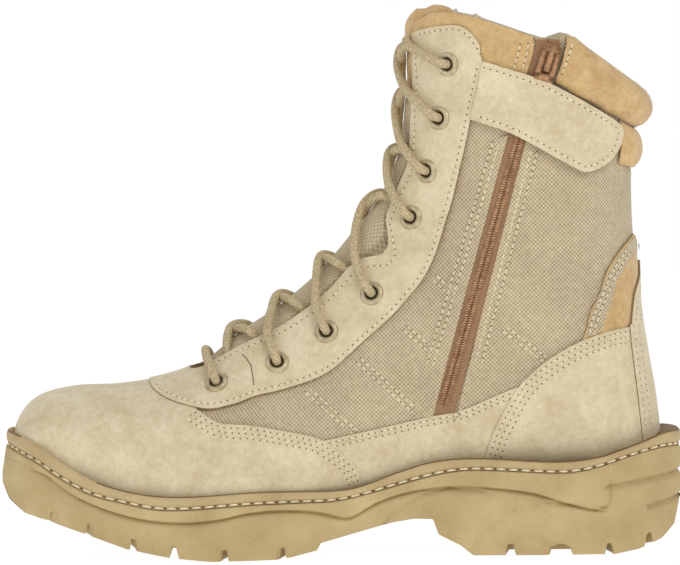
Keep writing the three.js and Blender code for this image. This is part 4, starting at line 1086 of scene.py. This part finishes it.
inner_ring = seam_ring(seam_angles)
lateral = run > toe_run
inner_ring[lateral] = seam_ring(180 - seam_angles)[lateral]
WELT_PROFILE = (  # share of the height, mm outwards
    (0.00, -5.0), (0.00, -0.9), (0.06, -1.2), (0.14, -1.3), (0.22, -1.1), (0.28, -0.4), (0.36, 0.0),
    (0.60, 0.1), (0.80, 0.0), (0.92, -0.35), (1.00, -1.2),
)
welt_rows = []
for rise, out in WELT_PROFILE:
    welt_rows.append(wall_row(top_z + GAP + (seam_z - top_z - GAP) * rise, out))
rim_row = welt_rows[-1]
for blend, drop in ((0.3, 0.05), (0.6, 0.15), (0.8, 0.5), (0.95, 1.5), (1.25, 2.2)):
    row = rim_row.copy()
    row[:, :2] += (inner_ring[:, :2] - rim_row[:, :2]) * blend
    row[:, 2] = line_at(seam_curve, row[:, 0]) - drop
    welt_rows.append(row)
welt = ring_piece("rubber_welt_strip", welt_rows, welt_rubber, ["welt"], "rubber_welt")
# The welt's upward faces, the crevice under the upper, take the darker rubber as painted shade.
welt.data.materials.append(welt_seam_shade)
for face in welt.data.polygons:
    if face.normal.z > 0.8:
        face.material_index = 1

# %% [markdown]
# ## Insole
# The footbed is cloth over foam. It fills the floor of the upper.

# %% Insole
INSOLE = 4.5
foot = inner_ring[:, :2].copy()
centre_line = np.column_stack((np.clip(foot[:, 0], 12, 285), mid_y))
bed_z = line_at(curve(FOOTBED_LINE, 2.0), edge_x)


def bed_row(s, z):
    pulled = centre_line + (foot - centre_line) * s
    return np.column_stack((pulled, np.broadcast_to(z, (COLUMNS,))))


bed_rows = [bed_row(s, bed_z + INSOLE + 0.15 + 2.5 * s ** 6) for s in np.linspace(0, 0.86, 14)]
bed_rows += [bed_row(0.88, bed_z + INSOLE + 0.4), bed_row(0.88, bed_z + 0.6), bed_row(0.3, bed_z + 0.3)]
ring_piece("cloth_insole", bed_rows, lining_cloth_plain, ["insole"], "lining")

# %% [markdown]
# ## Zip
# A coil zip: two woven tapes whose coils mesh in the middle. The slider is parked near the collar, and
# its tab hangs down the zip. A suede strap is sewn over the top of the zip as a guard.

# %% Zip tapes, teeth and strap
TAPE = 0.9
STRAP = 1.9
ZIP_FRONT = side((0.2155, 0.928), (0.2155, 0.906), (0.252, 0.760), (0.354, 0.337), (0.378, 0.235))
ZIP_BACK = side((0.178, 0.928), (0.180, 0.895), (0.2225, 0.738), (0.316, 0.337), (0.341, 0.235))
STRAP_OUTLINE = side(
    (0.288, 0.889), (0.256, 0.877), (0.224, 0.864), (0.188, 0.846), (0.139, 0.811), (0.100, 0.778),
    (0.091, 0.762), (0.093, 0.740), (0.104, 0.714), (0.121, 0.697), (0.140, 0.689), (0.155, 0.694),
    (0.213, 0.736), (0.256, 0.764), (0.306, 0.785))
TEETH_PITCH = 1.1
TOOTH_AT = Vector((1.2, 0.25, 0))     # from the zip's middle
TOOTH_HALF = (1.2, 0.48, 0.75)


def across_zip(t):
    return ZIP_FRONT + (ZIP_BACK - ZIP_FRONT) * t


for name, near, far in (("front", 0.0, 0.49), ("back", 1.0, 0.51)):
    path = on_last(across_zip(near)) + on_last(across_zip(far)[::-1])
    sewn(f"zip_tape_cloth_{name}", path, -OVERLAY + TAPE, TAPE, [zip_cloth], [f"zip_tape_{name}"], "zip_tape",
         step=1.6, bevel=0.2)

# The cloth is folded in beside the zip and stands over the tapes' edges.
folds = (("front", FOLD_FRONT, ZIP_BAND_FRONT, 1), ("back", FOLD_BACK, ZIP_BAND_BACK, -1))
for name, fold, band, way in folds:
    far = np.concatenate((band + (way * 3.2, 0), fold[-1:] + (way * 9.0, 0)))
    sewn(f"folded_cloth_{name}", on_last(fold) + on_last(far[::-1]), -LIFT + 0.75, 0.7, [quarter_cloth], (),
         "woven_upper", step=1.3, bevel=0.3,
         relief=lambda base, place, angle, line=fold: 1.2 * trough(base[:, 0], base[:, 2], line, 3.5))

strap_middle = STRAP_OUTLINE[-1:] * 0.5 + STRAP_OUTLINE[:1] * 0.5
strap_path = on_last(STRAP_OUTLINE) + [tuple(p) for p in locate(strap_middle)]


def strap_lie(base, place, angle):
    return 0.5 + 0.9 * np.clip((0.30 * LENGTH - base[:, 0]) / 12, 0, 1) - fold_depth(base[:, 0], base[:, 2])


sewn("suede_zip_strap", strap_path, GAP + STRAP - 0.5, STRAP, [light_suede], ["zip_strap"], "light_suede",
     relief=strap_lie, bevel=0.6)


def seat(place, angle, toward, lift=0.0):
    """Frame on the form: y toward a way of the side view, z out of the boot."""
    z = Vector(outward(place, angle))
    y = Vector((toward[0], 0, toward[1]))
    y = (y - z * y.dot(z)).normalized()
    matrix = Matrix((y.cross(z), y, z)).transposed().to_4x4()
    matrix.translation = Vector(skin(place, angle)) + z * lift
    return matrix


def place_mesh(bm, matrix):
    """From millimetres in a seat's own frame to the boot's frame."""
    bmesh.ops.transform(bm, matrix=matrix, verts=bm.verts[:])
    move(bm, np.array([v.co for v in bm.verts]))
    return bm


def block(bm, size, centre, bevel, segments):
    """A box with soft edges, in millimetres."""
    made = bmesh.ops.create_cube(bm, size=1)["verts"]
    bmesh.ops.transform(bm, matrix=Matrix.Translation(centre) @ Matrix.Diagonal((*size, 1)), verts=made)
    edges = list({e for v in made for e in v.link_edges})
    bmesh.ops.bevel(bm, geom=edges, offset=bevel, segments=segments, affect="EDGES")


middle_line = across_zip(0.5)
up_zip = middle_line[1] - middle_line[2]
zip_foot = middle_line[3:4] * 0.34 + middle_line[4:5] * 0.66
zip_run = curve(np.vstack((middle_line[1:4], zip_foot)), 0.5)
zip_arc = run_along(zip_run)
teeth_bm = bmesh.new()
for k in range(1, int(zip_arc[-1] / TEETH_PITCH)):
    place, angle = locate(at_run(k * TEETH_PITCH, zip_arc, zip_run))[0]
    tooth_seat = seat(place, angle, up_zip, -OVERLAY + TAPE + 0.5)
    for sign in (1, -1):
        made = bmesh.ops.create_uvsphere(teeth_bm, u_segments=8, v_segments=6, radius=1)["verts"]
        grown = Matrix.Translation(TOOTH_AT * sign) @ Matrix.Diagonal((*TOOTH_HALF, 1))
        bmesh.ops.transform(teeth_bm, matrix=tooth_seat @ grown, verts=made)
move(teeth_bm, np.array([v.co for v in teeth_bm.verts]))
keep_mesh(teeth_bm, "zip_coil_teeth", [coil_plastic], (), "zip_tape")

# %% [markdown]
# The slider is a zinc casting: a plate over the teeth with rounded shoulders and a bridge that holds
# the tab. The tab turns on the bridge's bar, so it is a body of its own.

# %% Slider and tab
SLIDER_AT = side((0.1935, 0.893))[0]
SLIDER_LENGTH = 12.6
SLIDER_WIDTH = 8.4
PIVOT = Vector((0, SLIDER_LENGTH / 2 - 2.6, 2.9))
slider_seat = seat(*locate(SLIDER_AT)[0], up_zip)
SLIDER_BLOCKS = (  # size, centre, soft edge and its steps
    ((SLIDER_WIDTH, SLIDER_LENGTH * 0.62, 1.6), (0, SLIDER_LENGTH * 0.19, 0.9), 0.7, 4),
    ((SLIDER_WIDTH * 0.72, SLIDER_LENGTH * 0.55, 1.6), (0, -SLIDER_LENGTH * 0.225, 0.9), 0.7, 4),
    ((2.6, 11.8, 0.9), (0, 0, 4.75), 0.35, 3),
    ((2.6, 1.0, 3.6), (0, 5.4, 3.2), 0.35, 3),
    ((2.6, 1.0, 3.6), (0, -5.4, 3.2), 0.35, 3),
)
PULL_BLOCKS = (
    ((2.5, 14.0, 1.2), (3.15, PIVOT.y - 6.5, PIVOT.z), 0.4, 3),
    ((2.5, 14.0, 1.2), (-3.15, PIVOT.y - 6.5, PIVOT.z), 0.4, 3),
    ((8.8, 1.6, 1.2), (0, PIVOT.y, PIVOT.z), 0.4, 3),
    ((8.8, 3.4, 1.2), (0, PIVOT.y - 12.4, PIVOT.z), 0.4, 3),
)
castings = (("zip_slider_casting", SLIDER_BLOCKS, "zip_slider", "boot"),
            ("zip_pull_tab", PULL_BLOCKS, "zip_pull", "pull"))
for name, blocks, node, body in castings:
    casting_bm = bmesh.new()
    for size, centre, soft, steps in blocks:
        block(casting_bm, size, centre, soft, steps)
    keep_mesh(place_mesh(casting_bm, slider_seat), name, [slider_lacquer], [node], "zip_metal", body)

# %% [markdown]
# ## Eyelets
# Each eyelet is a turned ring with a barrel through both leathers, spun from one profile.

# %% Eyelets
RING_PROFILE = (  # radius and height in mm
    (3.1, -4.3), (3.1, 1.5), (3.35, 1.95), (3.8, 2.15), (4.4, 2.1), (5.0, 1.8), (5.4, 1.35), (5.5, 0.8),
    (5.3, 0.3),
)
RING_SPIN = 36
eyelet_seats = {}
for sign, name in ((1, "medial"), (-1, "lateral")):
    for number, (place, angle) in enumerate(locate(EYELETS), 1):
        angle = angle if sign > 0 else 180 - angle
        matrix = seat(place, angle, (0, 1))
        eyelet_seats[sign, number] = (place, angle, matrix)
        ring_bm = bmesh.new()
        profile = [ring_bm.verts.new((radius, 0, height)) for radius, height in RING_PROFILE]
        edges = [ring_bm.edges.new(pair) for pair in zip(profile[:-1], profile[1:])]
        bmesh.ops.spin(ring_bm, geom=profile + edges, cent=(0, 0, 0), axis=(0, 0, 1), dvec=(0, 0, 0),
                       angle=2 * math.pi, steps=RING_SPIN, use_merge=True)
        bmesh.ops.remove_doubles(ring_bm, verts=ring_bm.verts[:], dist=0.01)
        bmesh.ops.recalc_face_normals(ring_bm, faces=ring_bm.faces[:])
        node = f"eyelet_{name}_{number}"
        keep_mesh(place_mesh(ring_bm, matrix), f"brass_{node}", [eyelet_lacquer], [node], "eyelet_metal")

# %% [markdown]
# ## Lace
# One round braided lace: a bar across the lowest pair of holes, then both ends go under the eyestay,
# cross over the tongue, go under the other edge and come up through the next hole, seven times. Its
# length above the top holes is tucked in there.

# %% Lace route and braid
LACE = 4.1
RADIUS = LACE / 2
STEP_ALONG = 0.45
ROUND = 20
BRAIDS = 8
BRAID_PITCH = 8.0


def front_point(place, y, out):
    return skin_out(place, float(angle_at(np.array([place]), np.array([y]))[0]), out)


def hole_point(sign, number, out, toward=0.0):
    place, angle = eyelet_seats[sign, number][:2]
    return skin_out(place, angle + toward * (1 if sign > 0 else -1), out)


def lace_run(sign):
    """Centre line from the bar's middle to the top hole, starting on one side."""
    place = eyelet_seats[sign, 1][0]
    edge_y = throat_half(place)
    points = [front_point(place, 0, 3.2), front_point(place, sign * edge_y * 0.8, 3.6),
              front_point(place, sign * (edge_y + 3), 4.6), hole_point(sign, 1, 4.4, 5),
              hole_point(sign, 1, 0.5), hole_point(sign, 1, -5.5, 3)]
    for number in range(1, len(EYELETS)):
        low, high = eyelet_seats[sign, number][0], eyelet_seats[-sign, number + 1][0]
        half_low, half_high = throat_half(low), throat_half(high)
        if number == 1:
            points += [front_point(low + 0.25, sign * (half_low + 0.5), -5.5),
                       front_point(low + 0.4, sign * (half_low - 3), 0.5)]
        else:
            points += [hole_point(sign, number, 4.6, 2.5),
                       front_point(low + 0.03, sign * (half_low + 2.5), 4.4),
                       front_point(low + 0.2, sign * (half_low - 3.5), 3.4)]
        over = 2.0 + (1.4 if sign > 0 else -0.6)
        points += [front_point((low + high) / 2, 0, over),
                   front_point(high - 0.32, -sign * (half_high - 4.0), 2.4),
                   front_point(high - 0.22, -sign * (half_high - 0.5), -3.5),
                   hole_point(-sign, number + 1, -6.0, 4), hole_point(-sign, number + 1, 0.5)]
        sign = -sign
    last = len(EYELETS)
    place = eyelet_seats[sign, last][0]
    half = throat_half(place)
    points += [hole_point(sign, last, 4.6, 2.5), front_point(place + 0.05, sign * (half + 2.5), 4.2),
               front_point(place + 0.15, sign * (half - 3), 1.0),
               front_point(place + 0.25, sign * (half - 4), -3.5)]
    return np.array(points)


def cord_curve(points, step):
    """Evenly stepped smooth curve through given points."""
    fine = [points[0]]
    for k in range(len(points) - 1):
        p0, p3 = points[max(k - 1, 0)], points[min(k + 2, len(points) - 1)]
        p1, p2 = points[k], points[k + 1]
        t1 = np.linalg.norm(p1 - p0) ** 0.5 or 1e-3
        t2 = t1 + max(np.linalg.norm(p2 - p1) ** 0.5, 1e-3)
        t3 = t2 + (np.linalg.norm(p3 - p2) ** 0.5 or 1e-3)
        for t in np.linspace(t1, t2, 25)[1:]:
            a1 = (t1 - t) / t1 * p0 + t / t1 * p1
            a2 = (t2 - t) / (t2 - t1) * p1 + (t - t1) / (t2 - t1) * p2
            a3 = (t3 - t) / (t3 - t2) * p2 + (t - t2) / (t3 - t2) * p3
            b1 = (t2 - t) / t2 * a1 + t / t2 * a2
            b2 = (t3 - t) / (t3 - t1) * a2 + (t - t1) / (t3 - t1) * a3
            fine.append((t2 - t) / (t2 - t1) * b1 + (t - t1) / (t2 - t1) * b2)
    fine = np.array(fine)
    arc = run_along(fine)
    at = np.linspace(0, arc[-1], max(8, int(arc[-1] / step)))
    return at_run(at, arc, fine), at


def sweep(name, points, material, nodes, slot):
    line, arc = cord_curve(points, STEP_ALONG)
    print(name, "length in mm", round(float(arc[-1])))
    for _ in range(6):
        line[1:-1] = (line[:-2] + 2 * line[1:-1] + line[2:]) / 4
    tangent = np.gradient(line, axis=0)
    tangent /= np.linalg.norm(tangent, axis=1, keepdims=True)
    side_way = np.zeros_like(line)
    way = np.cross(tangent[0], (0.3, 0.2, 1.0))
    for k, t in enumerate(tangent):
        way = way - t * way.dot(t)
        way /= np.linalg.norm(way)
        side_way[k] = way
    up_way = np.cross(tangent, side_way)
    rows = len(line) - 1
    bm, flat = grid(rows, ROUND)
    i = np.rint(flat[:, 0] * rows).astype(int)
    turn_at = np.rint(flat[:, 1] * ROUND) / ROUND * 2 * math.pi
    phase = arc[i] * 2 * math.pi / BRAID_PITCH
    ridges = [np.abs(np.sin(BRAIDS / 2 * turn_at + sign * phase * 1.5)) for sign in (1, -1)]
    radius = RADIUS * (0.90 + 0.12 * np.sqrt(ridges[0] * ridges[1]))
    radius = radius * np.clip(np.minimum(i, rows - i) / 3.0, 0.02, 1) ** 0.5
    across, up = np.cos(turn_at)[:, None], np.sin(turn_at)[:, None]
    move(bm, line[i] + (side_way[i] * across + up_way[i] * up) * radius[:, None])
    bmesh.ops.remove_doubles(bm, verts=bm.verts[:], dist=0.01 * MM)
    bmesh.ops.recalc_face_normals(bm, faces=bm.faces[:])
    keep_mesh(bm, name, [material], nodes, slot)


crossings = [f"lace_crossing_{k}" for k in range(1, len(EYELETS))]
sweep("lace_braid_a", lace_run(1), lace_fibre, ["lace_bar", "lace_end_medial"] + crossings, "lace")
sweep("lace_braid_b", lace_run(-1), lace_fibre, ["lace_end_lateral"], "lace")

# %% [markdown]
# ## Seams
# Every edge is sewn. A row of stitches is a path on the last, walked in steps of one stitch: a needle
# hole at each step, drawn as a dark disc of painted shade, and a thread between two holes. One sphere
# and one disc are made by the operators and copied to all places as one joined mesh.

# %% Stitches and needle holes
STITCH = 3.0
THREAD_OUT = 0.12     # mm from the leather to the middle of a thread
THREAD_SIZE = (0.41, 0.42, 0.36)      # half length as a share of the pitch, half width and height in mm
NEEDLE = (0.36, 0.36, 1.0)
BORE = (3.15, 3.15, 1.0)
threads, holes = [], []


def offset(line, by):
    """A side line moved to its right, seen along it, in mm."""
    line = np.asarray(line, float)
    way = np.gradient(line, axis=0)
    way /= np.linalg.norm(way, axis=1, keepdims=True)
    return line + np.stack((way[:, 1], -way[:, 0]), -1) * by


def row_of_stitches(path, out, thread=True, both=True, pitch=STITCH, relief=None):
    """Stitches along a path of places and angles."""
    path = np.asarray(path, float)
    for flip in (False, True) if both else (False,):
        place, angle = path[:, 0], 180 - path[:, 1] if flip else path[:, 1]
        base = skin(place, angle)
        arc = run_along(base)
        at = np.arange(pitch / 2, arc[-1], pitch)
        if len(at) < 2:
            continue
        place, angle = np.interp(at, arc, place), np.interp(at, arc, angle)
        base = skin(place, angle)
        lift = out + fold_depth(base[:, 0], base[:, 2]) + (relief(base, place, angle) if relief else 0)
        points, normals = skin_out(place, angle, lift), outward(place, angle)
        for k in range(len(at) - 1):
            way = points[k + 1] - points[k]
            # A dark disc of painted shade at each needle hole.
            holes.append((points[k], way, normals[k], NEEDLE))
            if thread:
                size = (np.linalg.norm(way) * THREAD_SIZE[0], *THREAD_SIZE[1:])
                threads.append(((points[k] + points[k + 1]) / 2, way, normals[k], size))


def scattered(name, kind, spots, materials, slot):
    """One joined mesh of a small shape at many spots: centre, way, normal and size."""
    bm = bmesh.new()
    if kind == "thread":
        bmesh.ops.create_uvsphere(bm, u_segments=8, v_segments=6, radius=1)
        bmesh.ops.rotate(bm, verts=bm.verts[:], matrix=Matrix.Rotation(math.radians(90), 3, "Y"))
    else:
        bmesh.ops.create_circle(bm, cap_ends=True, segments=8, radius=1)
    bm.verts.index_update()
    shape = np.array([v.co for v in bm.verts])
    faces = [[v.index for v in face.verts] for face in bm.faces]
    bm.free()
    centre, x, z, size = (np.array(column, float) for column in zip(*spots))
    x /= np.linalg.norm(x, axis=1, keepdims=True)
    z -= x * (x * z).sum(1, keepdims=True)
    z /= np.linalg.norm(z, axis=1, keepdims=True)
    axes = np.stack((x, np.cross(z, x), z), 1)
    points = np.einsum("nvk,nkc->nvc", shape[None] * size[:, None], axes) + centre[:, None]
    all_faces = [[i + n * len(shape) for i in face] for n in range(len(spots)) for face in faces]
    mesh = bpy.data.meshes.new(name)
    mesh.from_pydata(to_frame(points).reshape(-1, 3), [], all_faces)
    dress(name, mesh, materials, slot=slot)


def sewn_rows(line, insets, out, **options):
    for by in insets:
        row_of_stitches(on_last(offset(curve(line, 2.0), by)), out, **options)


CLOTH_OUT = -LIFT + 0.15
sewn_rows(VAMP_TOP[1:], (1.6, 3.7, 5.8), 0.42)
sewn_rows(EYESTAY_OUTER[1:], (1.9,), EYESTAY_OUT + THREAD_OUT)
sewn_rows(EYESTAY_TOP, (1.9,), EYESTAY_OUT + THREAD_OUT)
sewn_rows(COUNTER_EDGE[1:-1], (-1.9, -4.3, -6.7), COUNTER_OUT + THREAD_OUT)
sewn_rows(FOXING_TOP, (-1.6, -3.6), 0.15)
# Holes 0.9 mm apart with no thread: their discs of painted shade make one dark line along the seam.
sewn_rows(EYESTAY_SEAM, (0.0,), EYESTAY_OUT + 0.1, thread=False, pitch=0.9)
for ends in QUILT:
    sewn_rows(side(*ends), (-1.2, 1.2), CLOTH_OUT, relief=quilting)
for line in (ZIP_BAND_FRONT, ZIP_BAND_BACK):
    sewn_rows(line, (-1.4, 1.4), CLOTH_OUT + 0.35, both=False, relief=quilting)
sewn_rows(COLLAR_REAR, (-2.6, -6.2), 0.35)
# Rows of holes with no thread, each a dark disc of painted shade.
sewn_rows(STAY_EDGE, (1.8, 4.2), 1.4, thread=False)
sewn_rows(STAY_LOW, (1.8, 4.2), 1.4, thread=False)
sewn_rows(np.vstack((side((0.080, 0.551)), BAND_FRONT[1:])), (1.2, 3.3), 0.62)
strap_row = on_last(offset(curve(STRAP_OUTLINE, 2.0), -2.4))
row_of_stitches(strap_row, GAP + STRAP - 0.4, both=False, relief=strap_lie)
edge_places = np.linspace(THROAT_START + 0.35, 21.4, 150)
edge_row = np.column_stack((edge_places, angle_at(edge_places, throat_half(edge_places) + 2.6)))
row_of_stitches(edge_row, EYESTAY_OUT + THREAD_OUT)
band_run = np.linspace(-12, 12, 30)
for place_at in (BAND_START + 0.18, BAND_START + 0.36):
    places = np.full(len(band_run), place_at)
    row_of_stitches(np.column_stack((places, angle_at(places, band_run))), -0.1, both=False)
sewn_rows(side((0.183, 0.862), (0.175, 0.890), (0.164, 0.925)), (-1.6,), 0.0, both=False,
          relief=crowns["suede_collar_roll_upper"])
angles = np.linspace(-70, -110, 40)
back_row = np.column_stack((solve_place(angles, ROLL_BOTTOM - (0, 3.0)), angles))
row_of_stitches(back_row, CLOTH_OUT + 0.7, both=False)
scattered("thread_stitches", "thread", threads, [thread_material], "light_suede")
scattered("needle_hole_shading", "hole", holes, [hole_shade_material], "light_suede")
# A dark disc of painted shadow in each eyelet's barrel, where the hole is only shade.
eyelet_shade_spots = [(skin_out(place, angle, EYESTAY_OUT + THREAD_OUT), matrix.col[1][:3], outward(place, angle),
           BORE) for place, angle, matrix in eyelet_seats.values()]
scattered("eyelet_shadows", "hole", eyelet_shade_spots, [hole_shadow], "lining")

# %% [markdown]
# The welt is sewn with thick waxed thread. Each stitch lies in the groove, and a dark spot of painted shade
# marks the hole at each of its ends.

# %% Welt thread
WELT_STITCH = 5.6
THREAD_LEVEL = 0.13   # of the welt's height
THREAD_IN = 0.95
groove_row = wall_row(top_z + GAP + (seam_z - top_z - GAP) * THREAD_LEVEL, -THREAD_IN)
loop = np.vstack((groove_row, groove_row[:1]))
loop_arc = run_along(loop)
knots = at_run(np.linspace(0, loop_arc[-1], int(loop_arc[-1] / WELT_STITCH) + 1), loop_arc, loop)
welt_spots, welt_hole_shade_spots = [], []
for a, b in zip(knots[:-1], knots[1:]):
    way = b - a
    normal = np.cross(way, (0, 0, 1.0))
    normal *= np.sign(normal.dot((a + b) / 2 - (LENGTH / 2, 0, (a[2] + b[2]) / 2))) or 1
    welt_spots.append(((a + b) / 2, way, normal, (np.linalg.norm(way) * 0.37, 0.55, 0.62)))
    # A dark spot of painted shade where the thread goes into the welt.
    welt_hole_shade_spots.append((a, way, normal, (0.6, 0.4, 0.3)))
scattered("welt_thread", "thread", welt_spots, [thread_material], "rubber_welt")
scattered("welt_hole_shading", "thread", welt_hole_shade_spots, [hole_shade_material], "rubber_welt")
